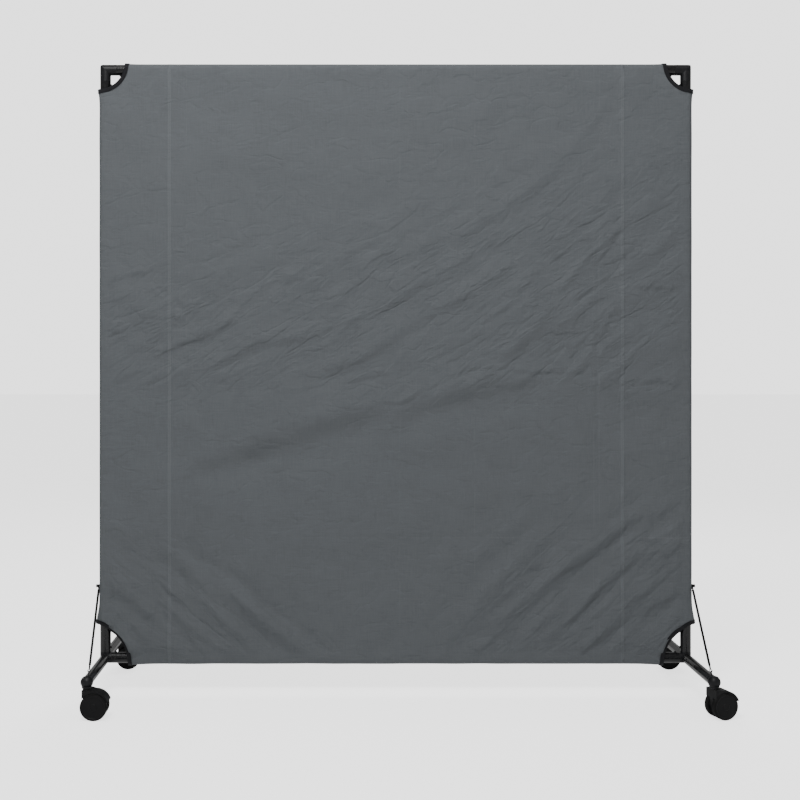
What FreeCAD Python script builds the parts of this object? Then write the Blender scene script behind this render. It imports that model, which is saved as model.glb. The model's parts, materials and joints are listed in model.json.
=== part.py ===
import FreeCAD, Part
import math
import os
import Sketcher

# Rolling canvas partition wall. The origin is on the floor, under the middle of the panel.
# X runs along the panel, Y through it (the front faces -Y) and Z is up. Lengths are millimetres.

SIZES = {
    # the tube frame
    "frame_width": 1772.0,        # over the outsides of the posts
    "overall_height": 1880.0,     # floor to the top of the top rail
    "tube_diameter": 31.8,
    "tube_wall": 1.6,
    "leg_diameter": 28.6,
    "leg_wall": 1.6,
    "leg_reach": 290.0,           # panel centre plane to the caster stem
    # fittings
    "elbow_reach": 34.1,          # crossing of the centre lines to the end of an elbow's arm
    "foot_reach": 20.0,           # the same for the post and rail arms of a foot connector
    "foot_leg_reach": 24.0,       # the same for its leg arms
    "fitting_corner": 12.0,       # outer corner radius, seen from the front
    "spigot_length": 46.0,
    "spigot_wall": 3.0,
    "spigot_clearance": 0.25,
    "leg_spigot_length": 35.0,
    "leg_spigot_clearance": 0.15,
    # snap buttons and their clips
    "button_diameter": 7.0,
    "button_proud": 3.8,          # how far a button stands out of the tube
    "button_setback": 11.0,       # arm end to the button's axis
    "button_clearance": 0.4,
    "clip_width": 8.0,
    "clip_thickness": 0.8,
    "clip_clearance": 1.55,       # spigot bore to the outer face of either leaf
    "clip_length": 20.0,          # button axis to the start of the bend
    "clip_overhang": 5.0,         # button axis to the free end of the leaf
    "clip_gap": 0.4,              # live leaf to the bend
    # caster socket and stem
    "ball_diameter": 35.0,
    "neck_diameter": 27.7,
    "neck_drop": 16.0,            # leg axis down to the lower face of the neck
    "socket_sleeve": 16.0,        # stem axis to the shoulder that the leg seats on
    "stem_diameter": 11.0,
    "stem_length": 22.0,          # part of the stem inside the socket
    "stem_clearance": 0.05,
    "flange_diameter": 18.0,
    "flange_thickness": 1.7,
    "journal_diameter": 8.0,
    "journal_length": 20.0,
    # casters
    "wheel_diameter": 75.0,
    "wheel_width": 17.4,
    "wheel_gap": 0.6,             # web to the inner face of a wheel
    "tread_depth": 4.5,
    "tread_edge": 2.2,
    "rim_depth": 4.5,
    "hub_radius": 11.0,
    "wheel_dish": 9.0,            # depth of the hollow on the inner side
    "cap_radius": 9.0,
    "cap_relief": 1.0,            # depth of the shallow ring on the outer face
    "axle_diameter": 8.0,
    "axle_end_wall": 3.0,         # wheel material beyond the axle's end
    "running_clearance": 0.05,
    "caster_trail": 22.0,         # stem axis to the axle
    "web_thickness": 16.0,
    "web_setback": 6.5,           # tread to the rim of the round web
    "hood_rise": 3.2,             # crown of the fender to the hood's flat top
    "swivel_gap": 0.3,            # hood to the stem's flange
    "hood_face": 10.0,            # stem axis to the flat leading face
    "hood_flat": 12.0,            # stem axis to the trailing end of the flat top
    "hood_gap": 1.8,              # tread to the fender
    "hood_thickness": 4.0,
    "hood_inset": 1.0,            # outer face of a wheel to the edge of the fender
    "hood_end_angle": 20.0,       # trailing end of the fender, above horizontal
    "hood_edge": 1.2,             # rounding of the fender's outer edges
    "bore_floor": 1.0,            # free depth under the journal
    # how far each caster stands turned from trailing along +X
    "turn_front_left": 0.0,
    "turn_front_right": 16.0,
    "turn_rear_left": 5.0,
    "turn_rear_right": -6.0,
    # cover
    "cloth_clearance": 0.4,       # tube to cloth
    "cloth_thickness": 1.0,
    "centre_cloth_width": 1354.0,
    "top_cutout": 87.5,           # radius about the frame's outer top corner
    "bottom_cutout_width": 97.0,
    "bottom_cutout_height": 119.0,
    "binding_width": 12.0,
    "binding_step": 1.5,          # binding surface above the cloth
    # stays
    "stay_diameter": 3.2,
    "stay_rise": 215.0,           # leg axis up to the studs on the posts
    "stay_foot": 262.0,           # panel centre plane to the eyes on the legs
    "stud_diameter": 5.0,
    "stud_hole_clearance": 1.0,
    "knob_diameter": 9.0,
    "knob_length": 3.6,
    "stay_ring_radius": 4.2,      # to the centre of the ring's wire
    "stay_ring_wire": 1.8,
    "ring_gap": 0.3,
    "eye_radius": 4.6,
    "eye_wire": 2.4,
    "link_gap": 0.12,
    "ferrule_diameter": 4.4,
    "ferrule_length": 14.0,
    "ferrule_setback": 3.0,       # ring to the ferrule
}

doc = FreeCAD.newDocument("partition_wall")
sheet = doc.addObject("Spreadsheet::Sheet", "sizes")


class Size:
    """A length or angle: the sheet expression that gives it, and its present value."""

    def __init__(self, text, value):
        self.text = text
        self.value = value

    def __add__(self, other):
        other = as_size(other)
        return Size(f"({self.text} + {other.text})", self.value + other.value)

    def __sub__(self, other):
        other = as_size(other)
        return Size(f"({self.text} - {other.text})", self.value - other.value)

    def __mul__(self, other):
        other = as_size(other)
        return Size(f"({self.text} * {other.text})", self.value * other.value)

    def __truediv__(self, other):
        other = as_size(other)
        return Size(f"({self.text} / {other.text})", self.value / other.value)

    def __neg__(self):
        return self * -1

    __radd__ = __add__
    __rmul__ = __mul__

    def __rsub__(self, other):
        return as_size(other) - self


def as_size(item):
    """Take a plain number as a size."""
    return item if isinstance(item, Size) else Size(f"({item})", float(item))


def root(size):
    return Size(f"sqrt({size.text})", math.sqrt(size.value))


def sine(size):
    return Size(f"sin({size.text})", math.sin(math.radians(size.value)))


def cosine(size):
    return Size(f"cos({size.text})", math.cos(math.radians(size.value)))


def fill_sheet():
    """Write every driving size into its own named cell and return them as sizes."""
    named = {}
    for row, (alias, number) in enumerate(SIZES.items(), start=1):
        sheet.set(f"A{row}", alias)
        sheet.set(f"B{row}", str(number))
        sheet.setAlias(f"B{row}", alias)
        named[alias] = Size(f"sizes.{alias}", number)
    doc.recompute()
    return named


S = fill_sheet()
ZERO = as_size(0)

OVERRUN = 1.0       # how far a cutting shape runs past the piece that it cuts
ROOT = 4.0          # how deep a spigot starts inside its fitting

# Radii and places that several pieces share.
tube_r = S["tube_diameter"] / 2
tube_bore_r = tube_r - S["tube_wall"]
leg_r = S["leg_diameter"] / 2
leg_bore_r = leg_r - S["leg_wall"]
spigot_r = tube_bore_r - S["spigot_clearance"]
spigot_bore_r = spigot_r - S["spigot_wall"]
leg_spigot_r = leg_bore_r - S["leg_spigot_clearance"]
button_r = S["button_diameter"] / 2
post_x = S["frame_width"] / 2 - tube_r
top_z = S["overall_height"] - tube_r
wheel_r = S["wheel_diameter"] / 2
rim_r = wheel_r - S["tread_depth"]
journal_r = S["journal_diameter"] / 2
axle_r = S["axle_diameter"] / 2
wheel_inner_y = S["web_thickness"] / 2 + S["wheel_gap"]
axle_half = wheel_inner_y + S["wheel_width"] - S["axle_end_wall"]
clip_level = spigot_bore_r - S["clip_clearance"]
hood_inner_r = wheel_r + S["hood_gap"]
hood_outer_r = hood_inner_r + S["hood_thickness"]
hood_width = (wheel_inner_y + S["wheel_width"] - S["hood_inset"]) * 2
# The casters carry the frame, so heights are built up from the floor.
hood_top = wheel_r + hood_outer_r + S["hood_rise"]
neck_level = hood_top + S["swivel_gap"] + S["flange_thickness"]
low_z = neck_level + S["neck_drop"]
stud_z = low_z + S["stay_rise"]
cloth_inner_r = tube_r + S["cloth_clearance"]
cloth_outer_r = cloth_inner_r + S["cloth_thickness"]
binding_outer_r = cloth_outer_r + S["binding_step"]

SIDES = {"left": -1, "right": 1}
ENDS = {"front": -1, "rear": 1}
NODES = []

TURNS = {
    "+X": FreeCAD.Rotation(FreeCAD.Vector(0, 1, 0), 90),
    "-X": FreeCAD.Rotation(FreeCAD.Vector(0, 1, 0), -90),
    "+Y": FreeCAD.Rotation(FreeCAD.Vector(1, 0, 0), -90),
    "-Y": FreeCAD.Rotation(FreeCAD.Vector(1, 0, 0), 90),
    "+Z": FreeCAD.Rotation(),
    "-Z": FreeCAD.Rotation(FreeCAD.Vector(1, 0, 0), 180),
}
WAYS = {
    "+X": (1, 0, 0),
    "-X": (-1, 0, 0),
    "+Y": (0, 1, 0),
    "-Y": (0, -1, 0),
    "+Z": (0, 0, 1),
    "-Z": (0, 0, -1),
}


def signed(letter, sign):
    """Name the way along an axis, such as +X."""
    return ("+" if sign > 0 else "-") + letter


def along(start, way, distance):
    """The point at a distance from start, one of the six ways."""
    return [as_size(c) + distance * w if w else as_size(c) for c, w in zip(start, WAYS[way])]


def put(item, at, turn=None):
    """Place an object, with its coordinates bound to the sheet."""
    at = [as_size(c) for c in at]
    base = FreeCAD.Vector(*[c.value for c in at])
    item.Placement = FreeCAD.Placement(base, turn or FreeCAD.Rotation())
    for letter, size in zip("xyz", at):
        item.setExpression(f"Placement.Base.{letter}", size.text)
    return item


def rod(name, radius, length, start, way):
    """A solid cylinder from start, running one of the six ways."""
    item = doc.addObject("Part::Cylinder", name)
    item.setExpression("Radius", as_size(radius).text)
    item.setExpression("Height", as_size(length).text)
    return put(item, start, TURNS[way])


def block(name, sizes, corner):
    """A box from its lowest corner."""
    item = doc.addObject("Part::Box", name)
    for key, size in zip(("Length", "Width", "Height"), sizes):
        item.setExpression(key, as_size(size).text)
    return put(item, corner)


def ring(name, radius, wire_r, centre, turn):
    """A torus whose axis is the turned Z axis."""
    item = doc.addObject("Part::Torus", name)
    item.setExpression("Radius1", as_size(radius).text)
    item.setExpression("Radius2", as_size(wire_r).text)
    return put(item, centre, turn)


def fuse(name, items):
    item = doc.addObject("Part::MultiFuse", name)
    item.Shapes = items
    return item


def common(name, items):
    item = doc.addObject("Part::MultiCommon", name)
    item.Shapes = items
    return item


def cut(name, base, tool):
    item = doc.addObject("Part::Cut", name)
    item.Base = base
    item.Tool = tool
    return item


def group(name, items):
    item = doc.addObject("Part::Compound", name)
    item.Links = items
    return item


def node(item, label):
    """Name a finished piece of the object."""
    item.Label = label
    NODES.append(item)
    return item


# Frame tubes


def hollow_tube(name, radius, bore_r, start, way, length):
    wall = rod(f"{name}_wall", radius, length, start, way)
    bore = rod(f"{name}_bore", bore_r, length + 2 * OVERRUN, along(start, way, -OVERRUN), way)
    return cut(f"{name}_tube", wall, bore)


def drilled(name, item, holes):
    """Cut round holes, each a (radius, start, way, depth)."""
    if not holes:
        return item
    tools = [
        rod(f"{name}_drill_{i}", radius, depth, start, way)
        for i, (radius, start, way, depth) in enumerate(holes)
    ]
    return cut(f"{name}_drilled", item, fuse(f"{name}_drills", tools) if len(tools) > 1 else tools[0])


def button_hole(axis_point, way):
    """A hole for a snap button through one wall, from the tube's axis outwards."""
    return (button_r + S["button_clearance"], axis_point, way, tube_r + OVERRUN)


def make_rail(label, z, reach, button_way):
    half = post_x - reach
    start = [-half, ZERO, z]
    tube = hollow_tube(label, tube_r, tube_bore_r, start, "+X", half * 2)
    holes = [
        button_hole([side * (half - S["button_setback"]), ZERO, z], button_way)
        for side in SIDES.values()
    ]
    node(drilled(label, tube, holes), label)


def make_post(side_name):
    side = SIDES[side_name]
    label = f"{side_name}_post"
    x = side * post_x
    foot = low_z + S["foot_reach"]
    head = top_z - S["elbow_reach"]
    tube = hollow_tube(label, tube_r, tube_bore_r, [x, ZERO, foot], "+Z", head - foot)
    inward = signed("X", -side)
    stud_r = S["stud_diameter"] / 2
    holes = [
        button_hole([x, ZERO, foot + S["button_setback"]], inward),
        button_hole([x, ZERO, head - S["button_setback"]], inward),
        (stud_r, [x, ZERO, stud_z], signed("X", side), tube_r + OVERRUN),
    ]
    node(drilled(label, tube, holes), label)


def make_leg(end_name, side_name):
    end = ENDS[end_name]
    label = f"leg_{end_name}_{side_name}"
    x = SIDES[side_name] * post_x
    way = signed("Y", end)
    length = S["leg_reach"] - S["socket_sleeve"] - S["foot_leg_reach"]
    tube = hollow_tube(label, leg_r, leg_bore_r, [x, end * S["foot_leg_reach"], low_z], way, length)
    eye_hole = (S["eye_wire"] / 2, [x, end * S["stay_foot"], low_z], "+Z", leg_r + OVERRUN)
    node(drilled(label, tube, [eye_hole]), label)


# Corner fittings


def spigot(name, base, way, button_way):
    """A hollow spigot that starts in a fitting at base, with a hole for its button."""
    full = S["spigot_length"] + ROOT
    depth = S["spigot_length"] + ROOT / 2 + OVERRUN
    outer = rod(f"{name}_outer", spigot_r, full, along(base, way, -ROOT), way)
    bore = rod(f"{name}_bore", spigot_bore_r, depth, along(base, way, -ROOT / 2), way)
    at_button = along(base, way, S["button_setback"])
    hole_r = button_r + S["button_clearance"]
    hole = rod(f"{name}_hole", hole_r, spigot_r + OVERRUN, at_button, button_way)
    return outer, bore, hole


def corner_body(name, centre, rail_way, post_way, reach):
    """Two round arms that meet at a corner, with the outer corner rounded."""
    rail_arm = rod(f"{name}_rail_arm", tube_r, reach, centre, rail_way)
    post_arm = rod(f"{name}_post_arm", tube_r, reach, centre, post_way)
    across = rod(f"{name}_across", tube_r, tube_r * 2, along(centre, rail_way, -tube_r), rail_way)
    upright = rod(f"{name}_upright", tube_r, tube_r * 2, along(centre, post_way, -tube_r), post_way)
    knuckle = common(f"{name}_knuckle", [across, upright])
    arms = fuse(f"{name}_arms", [rail_arm, post_arm, knuckle])
    # The sharp outer corner is taken down by a small block with a round bite out of it.
    corner = S["fitting_corner"]
    nib_x = centre[0] - WAYS[rail_way][0] * tube_r
    nib_z = centre[2] - WAYS[post_way][2] * tube_r
    round_x = nib_x + WAYS[rail_way][0] * corner
    round_z = nib_z + WAYS[post_way][2] * corner
    low_x = nib_x if WAYS[rail_way][0] > 0 else round_x
    low_corner_z = nib_z if WAYS[post_way][2] > 0 else round_z
    nib = block(f"{name}_nib", [corner, tube_r * 2, corner], [low_x, -tube_r, low_corner_z])
    bite_start = [round_x, -tube_r - OVERRUN, round_z]
    bite = rod(f"{name}_bite", corner, (tube_r + OVERRUN) * 2, bite_start, "+Y")
    return cut(f"{name}_rounded", arms, cut(f"{name}_spare", nib, bite))


def make_elbow(side_name):
    side = SIDES[side_name]
    label = f"elbow_{side_name}"
    centre = [side * post_x, ZERO, top_z]
    rail_way = signed("X", -side)
    reach = S["elbow_reach"]
    body = corner_body(label, centre, rail_way, "-Z", reach)
    rail = spigot(f"{label}_rail", along(centre, rail_way, reach), rail_way, "-Z")
    post = spigot(f"{label}_post", along(centre, "-Z", reach), "-Z", rail_way)
    solid = fuse(f"{label}_solid", [body, rail[0], post[0]])
    hollow = fuse(f"{label}_hollow", [rail[1], rail[2], post[1], post[2]])
    node(cut(label, solid, hollow), label)


def make_foot_connector(side_name):
    side = SIDES[side_name]
    label = f"foot_connector_{side_name}"
    centre = [side * post_x, ZERO, low_z]
    rail_way = signed("X", -side)
    reach = S["foot_reach"]
    body = corner_body(label, centre, rail_way, "+Z", reach)
    rail = spigot(f"{label}_rail", along(centre, rail_way, reach), rail_way, "+Z")
    post = spigot(f"{label}_post", along(centre, "+Z", reach), "+Z", rail_way)
    solids = [body, rail[0], post[0]]
    for end_name, end in ENDS.items():
        way = signed("Y", end)
        full = S["foot_leg_reach"] + S["leg_spigot_length"]
        solids.append(rod(f"{label}_{end_name}_arm", leg_r, S["foot_leg_reach"], centre, way))
        solids.append(rod(f"{label}_{end_name}_spigot", leg_spigot_r, full, centre, way))
    solid = fuse(f"{label}_solid", solids)
    hollow = fuse(f"{label}_hollow", [rail[1], rail[2], post[1], post[2]])
    node(cut(label, solid, hollow), label)


def make_caster_socket(end_name, side_name):
    """The ball-shaped elbow on the end of a leg, over its caster."""
    end = ENDS[end_name]
    label = f"caster_socket_{end_name}_{side_name}"
    x = SIDES[side_name] * post_x
    y = end * S["leg_reach"]
    centre = [x, y, low_z]
    inward = signed("Y", -end)
    ball = doc.addObject("Part::Sphere", f"{label}_ball")
    ball.setExpression("Radius", (S["ball_diameter"] / 2).text)
    put(ball, centre)
    neck = rod(f"{label}_neck", S["neck_diameter"] / 2, low_z - neck_level, centre, "-Z")
    sleeve = rod(f"{label}_sleeve", leg_r, S["socket_sleeve"], centre, inward)
    full = S["socket_sleeve"] + S["leg_spigot_length"]
    spike = rod(f"{label}_spigot", leg_spigot_r, full, centre, inward)
    solid = fuse(f"{label}_solid", [ball, neck, sleeve, spike])
    floor = neck_level
    bore_r = S["stem_diameter"] / 2 + S["stem_clearance"]
    bore = rod(f"{label}_stem_bore", bore_r, S["stem_length"] + OVERRUN, [x, y, floor], "+Z")
    below = rod(f"{label}_below", S["ball_diameter"], S["ball_diameter"], [x, y, floor], "-Z")
    node(cut(label, solid, fuse(f"{label}_cuts", [bore, below])), label)


def make_caster_stem(end_name, side_name):
    name = f"stem_{end_name}_{side_name}"
    place = [SIDES[side_name] * post_x, ENDS[end_name] * S["leg_reach"], neck_level]
    pin = rod(f"{name}_pin", S["stem_diameter"] / 2, S["stem_length"], place, "+Z")
    flange = rod(f"{name}_flange", S["flange_diameter"] / 2, S["flange_thickness"], place, "-Z")
    reach = S["flange_thickness"] + S["journal_length"]
    journal = rod(f"{name}_journal", journal_r, reach, place, "-Z")
    return fuse(name, [pin, flange, journal])


# Sketch helpers for the bodies


def origin_plane(body, role):
    return next(f for f in body.Origin.OriginFeatures if f.Role == role)


def attached_sketch(body, name, role, offset=None):
    sketch = body.newObject("Sketcher::SketchObject", name)
    sketch.AttachmentSupport = (origin_plane(body, role), [""])
    sketch.MapMode = "FlatFace"
    if offset is not None:
        sketch.setExpression("AttachmentOffset.Base.z", offset.text)
    return sketch


def pin_down(sketch, geometry, point, place):
    """Hold one end of a line or arc at a place measured from the sketch's origin."""
    for kind, size in zip(("DistanceX", "DistanceY"), place):
        size = as_size(size)
        index = sketch.addConstraint(
            Sketcher.Constraint(kind, -1, 1, geometry, point, size.value)
        )
        sketch.setExpression(f"Constraints[{index}]", size.text)


def closed_outline(sketch, corners, arcs=None):
    """Join corners by lines. arcs maps a side's number to (radius, turns left) for a round side."""
    arcs = arcs or {}
    corners = [[as_size(c) for c in corner] for corner in corners]
    count = len(corners)
    for i, corner in enumerate(corners):
        after = corners[(i + 1) % count]
        a = FreeCAD.Vector(corner[0].value, corner[1].value, 0)
        b = FreeCAD.Vector(after[0].value, after[1].value, 0)
        if i in arcs:
            sketch.addGeometry(arc_through(a, b, *arcs[i]), False)
        else:
            sketch.addGeometry(Part.LineSegment(a, b), False)
    for i, corner in enumerate(corners):
        leaving = 2 if i in arcs and not arcs[i][1] else 1
        pin_down(sketch, i, leaving, corner)
        before = (i - 1) % count
        arriving = 1 if before in arcs and not arcs[before][1] else 2
        sketch.addConstraint(Sketcher.Constraint("Coincident", before, arriving, i, leaving))
    for i, (radius, _) in arcs.items():
        index = sketch.addConstraint(Sketcher.Constraint("Radius", i, radius.value))
        sketch.setExpression(f"Constraints[{index}]", radius.text)


def arc_through(a, b, radius, turns_left):
    """The short arc from a to b. An arc that turns right is drawn from b to a."""
    chord = b - a
    middle = (a + b) * 0.5
    rise = math.sqrt(max(radius.value**2 - (chord.Length / 2) ** 2, 0))
    normal = FreeCAD.Vector(-chord.y, chord.x, 0).normalize()
    centre = middle + normal * (rise if turns_left else -rise)
    first, last = (a, b) if turns_left else (b, a)
    start = math.atan2(first.y - centre.y, first.x - centre.x)
    end = math.atan2(last.y - centre.y, last.x - centre.x)
    circle = Part.Circle(centre, FreeCAD.Vector(0, 0, 1), radius.value)
    return Part.ArcOfCircle(circle, start, end)


def round_outline(sketch, radius, centre):
    centre = [as_size(c) for c in centre]
    middle = FreeCAD.Vector(centre[0].value, centre[1].value, 0)
    circle = Part.Circle(middle, FreeCAD.Vector(0, 0, 1), radius.value)
    number = sketch.addGeometry(circle, False)
    pin_down(sketch, number, 3, centre)
    index = sketch.addConstraint(Sketcher.Constraint("Radius", number, radius.value))
    sketch.setExpression(f"Constraints[{index}]", radius.text)


def pad(body, name, sketch, length, both_ways=True):
    feature = body.newObject("PartDesign::Pad", name)
    feature.Profile = sketch
    feature.setExpression("Length", length.text)
    feature.Midplane = both_ways
    body.Tip = feature
    return feature


def revolve(body, name, sketch):
    feature = body.newObject("PartDesign::Revolution", name)
    feature.Profile = sketch
    feature.ReferenceAxis = (sketch, ["V_Axis"])
    feature.Angle = 360
    body.Tip = feature
    return feature


# Casters, each drawn about its own stem axis with the floor at zero


def caster_place(end_name, side_name, ahead, across, up):
    """A point given along and across a caster, as coordinates of the whole object."""
    turn = S[f"turn_{end_name}_{side_name}"]
    x = SIDES[side_name] * post_x + ahead * cosine(turn) - across * sine(turn)
    y = ENDS[end_name] * S["leg_reach"] + ahead * sine(turn) + across * cosine(turn)
    return [x, y, up]


def caster_turn(end_name, side_name):
    return FreeCAD.Rotation(FreeCAD.Vector(0, 0, 1), SIZES[f"turn_{end_name}_{side_name}"])


def put_caster_piece(body, end_name, side_name, ahead, across, up, about=None):
    turn = caster_turn(end_name, side_name)
    put(body, caster_place(end_name, side_name, ahead, across, up), turn * about if about else turn)
    if about is None:
        body.setExpression("Placement.Rotation.Angle", S[f"turn_{end_name}_{side_name}"].text)


def ease_fender(body, name):
    """Round the two outer edges of the fender's arc."""
    doc.recompute()
    fender = body.Tip
    arcs = [
        f"Edge{i}"
        for i, edge in enumerate(fender.Shape.Edges, start=1)
        if hasattr(edge.Curve, "Radius")
        and abs(edge.Curve.Radius - hood_outer_r.value) < 1e-6
        and edge.BoundBox.YLength < 1e-6
    ]
    rounding = body.newObject("PartDesign::Fillet", name)
    rounding.Base = (fender, arcs)
    rounding.setExpression("Radius", S["hood_edge"].text)
    body.Tip = rounding


def make_hood(end_name, side_name):
    label = f"caster_hood_{end_name}_{side_name}"
    body = doc.addObject("PartDesign::Body", label)
    trail = S["caster_trail"]
    face = S["hood_face"]

    web = attached_sketch(body, f"{label}_web_outline", "XZ_Plane")
    round_outline(web, wheel_r - S["web_setback"], [trail, wheel_r])
    pad(body, f"{label}_web", web, S["web_thickness"])

    # A block between the wheels ties the round web to the stem boss.
    boss = attached_sketch(body, f"{label}_boss_outline", "XZ_Plane")
    boss_end = trail + S["hood_flat"]
    boss_top = wheel_r + hood_inner_r
    closed_outline(
        boss,
        [[-face, wheel_r], [boss_end, wheel_r], [boss_end, boss_top], [-face, boss_top]],
    )
    pad(body, f"{label}_boss", boss, S["web_thickness"])

    fender = attached_sketch(body, f"{label}_fender_outline", "XZ_Plane")
    reach = trail + face
    face_low = wheel_r + root(hood_inner_r * hood_inner_r - reach * reach)
    end = S["hood_end_angle"]
    crown = wheel_r + hood_outer_r
    tail_out = [trail + hood_outer_r * cosine(end), wheel_r + hood_outer_r * sine(end)]
    tail_in = [trail + hood_inner_r * cosine(end), wheel_r + hood_inner_r * sine(end)]
    closed_outline(
        fender,
        [
            [-face, face_low],
            tail_in,
            tail_out,
            [trail, crown],
            [S["hood_flat"], hood_top],
            [-face, hood_top],
        ],
        arcs={0: (hood_inner_r, False), 2: (hood_outer_r, True)},
    )
    pad(body, f"{label}_fender", fender, hood_width)
    ease_fender(body, f"{label}_eased")

    stem = attached_sketch(body, f"{label}_stem_outline", "XY_Plane", hood_top)
    round_outline(stem, journal_r + S["running_clearance"], [ZERO, ZERO])
    bore = body.newObject("PartDesign::Pocket", f"{label}_stem_bore")
    bore.Profile = stem
    journal_end = neck_level - S["flange_thickness"] - S["journal_length"]
    bore.setExpression("Length", (hood_top - journal_end + S["bore_floor"]).text)
    body.Tip = bore

    axle = attached_sketch(body, f"{label}_axle_outline", "XZ_Plane")
    round_outline(axle, axle_r + S["running_clearance"], [trail, wheel_r])
    hole = body.newObject("PartDesign::Pocket", f"{label}_axle_hole")
    hole.Profile = axle
    hole.Midplane = True
    hole.setExpression("Length", (hood_width + 2 * OVERRUN).text)
    body.Tip = hole

    put_caster_piece(body, end_name, side_name, ZERO, ZERO, ZERO)
    node(body, label)


def make_axle(end_name, side_name):
    label = f"caster_axle_{end_name}_{side_name}"
    body = doc.addObject("PartDesign::Body", label)
    outline = attached_sketch(body, f"{label}_outline", "XZ_Plane")
    round_outline(outline, axle_r, [ZERO, ZERO])
    pad(body, f"{label}_pin", outline, axle_half * 2)
    put_caster_piece(body, end_name, side_name, S["caster_trail"], ZERO, wheel_r)
    node(body, label)


def wheel_outline():
    """Half section of a wheel: radius, then distance out from its inner face."""
    width = S["wheel_width"]
    floor = width - S["axle_end_wall"] + S["wheel_gap"]
    bore_r = axle_r + S["running_clearance"]
    inside_r = rim_r - S["rim_depth"]
    shallow = width - S["cap_relief"]
    slope = S["cap_relief"]
    return [
        [ZERO, floor],
        [bore_r, floor],
        [bore_r, ZERO],
        [S["hub_radius"], ZERO],
        [S["hub_radius"], S["wheel_dish"]],
        [inside_r, S["wheel_dish"]],
        [inside_r, ZERO],
        [rim_r, ZERO],
        [rim_r, width],
        [rim_r - S["rim_depth"] / 2, width],
        [rim_r - S["rim_depth"] / 2 - slope, shallow],
        [S["cap_radius"] + slope, shallow],
        [S["cap_radius"], width],
        [ZERO, width],
    ]


def make_wheel(end_name, side_name, place_name, across):
    """A wheel and its tread. across is +1 or -1, the side of the web it runs on."""
    ahead = S["caster_trail"]
    off = across * wheel_inner_y
    about = None if across > 0 else FreeCAD.Rotation(FreeCAD.Vector(0, 0, 1), 180)
    title = f"{end_name}_{side_name}_{place_name}"

    wheel = doc.addObject("PartDesign::Body", f"wheel_{title}")
    sketch = attached_sketch(wheel, f"wheel_{title}_outline", "XY_Plane")
    closed_outline(sketch, wheel_outline())
    revolve(wheel, f"wheel_{title}_turned", sketch)
    put_caster_piece(wheel, end_name, side_name, ahead, off, wheel_r, about)
    node(wheel, f"wheel_{title}")

    tread = doc.addObject("PartDesign::Body", f"tread_{title}")
    sketch = attached_sketch(tread, f"tread_{title}_outline", "XY_Plane")
    edge = S["tread_edge"]
    width = S["wheel_width"]
    closed_outline(
        sketch,
        [
            [rim_r, ZERO],
            [wheel_r - edge, ZERO],
            [wheel_r, edge],
            [wheel_r, width - edge],
            [wheel_r - edge, width],
            [rim_r, width],
        ],
        arcs={1: (edge, True), 3: (edge, True)},
    )
    revolve(tread, f"tread_{title}_turned", sketch)
    put_caster_piece(tread, end_name, side_name, ahead, off, wheel_r, about)
    node(tread, f"tread_{title}")


# Snap buttons. Each is drawn with its button along Z and its leaf running deeper into the tube along X.


def clip_turn(into_way, button_way):
    into = FreeCAD.Vector(*WAYS[into_way])
    out = FreeCAD.Vector(*WAYS[button_way])
    return FreeCAD.Rotation(into, out.cross(into), out, "ZXY")


def make_snap_button(label, axis_point, into_way, button_way):
    """The button and the live leaf that it is riveted to."""
    body = doc.addObject("PartDesign::Body", label)
    leaf_top = clip_level
    leaf_low = leaf_top - S["clip_thickness"]
    leaf = attached_sketch(body, f"{label}_leaf_outline", "XZ_Plane")
    far = S["clip_length"] - S["clip_gap"]
    near = -S["clip_overhang"]
    closed_outline(leaf, [[near, leaf_low], [far, leaf_low], [far, leaf_top], [near, leaf_top]])
    pad(body, f"{label}_leaf", leaf, S["clip_width"])
    button = attached_sketch(body, f"{label}_button_outline", "XZ_Plane")
    top = tube_r + S["button_proud"]
    shoulder = top - button_r / 2
    dome_r = (button_r * button_r + button_r * button_r / 4) / button_r
    closed_outline(
        button,
        [[ZERO, leaf_low], [button_r, leaf_low], [button_r, shoulder], [ZERO, top]],
        arcs={2: (dome_r, True)},
    )
    revolve(body, f"{label}_head", button)
    put(body, axis_point, clip_turn(into_way, button_way))
    node(body, label)


def make_clip(name, axis_point, into_way, button_way):
    """The fixed leaf and the bend of a snap button's spring clip."""
    half = S["clip_width"] / 2
    outer_r = clip_level
    inner_r = outer_r - S["clip_thickness"]
    centre = [S["clip_length"], -half, ZERO]
    disc = rod(f"{name}_disc", outer_r, S["clip_width"], centre, "+Y")
    hole = rod(f"{name}_hole", inner_r, S["clip_width"] + 2 * OVERRUN, along(centre, "-Y", OVERRUN), "+Y")
    bend = cut(f"{name}_hoop", disc, hole)
    keep = block(
        f"{name}_keep",
        [outer_r + OVERRUN, S["clip_width"], (outer_r + OVERRUN) * 2],
        [S["clip_length"], -half, -outer_r - OVERRUN],
    )
    bend = common(f"{name}_bend", [bend, keep])
    leaf = block(
        f"{name}_leaf",
        [S["clip_length"] + S["clip_overhang"], S["clip_width"], S["clip_thickness"]],
        [-S["clip_overhang"], -half, -outer_r],
    )
    return put(fuse(name, [bend, leaf]), axis_point, clip_turn(into_way, button_way))


def make_snap_buttons():
    clips = []
    for side_name, side in SIDES.items():
        x = side * post_x
        inward = signed("X", -side)
        top_reach = S["elbow_reach"] + S["button_setback"]
        low_reach = S["foot_reach"] + S["button_setback"]
        places = {
            "top_rail": ([x - side * top_reach, ZERO, top_z], inward, "-Z"),
            "bottom_rail": ([x - side * low_reach, ZERO, low_z], inward, "+Z"),
            "post_top": ([x, ZERO, top_z - top_reach], "-Z", inward),
            "post_bottom": ([x, ZERO, low_z + low_reach], "+Z", inward),
        }
        for place_name, (point, into_way, button_way) in places.items():
            title = f"{place_name}_{side_name}"
            make_snap_button(f"snap_button_{title}", point, into_way, button_way)
            clips.append(make_clip(f"clip_{title}", point, into_way, button_way))
    node(group("snap_clips", clips), "snap_clips")


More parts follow.
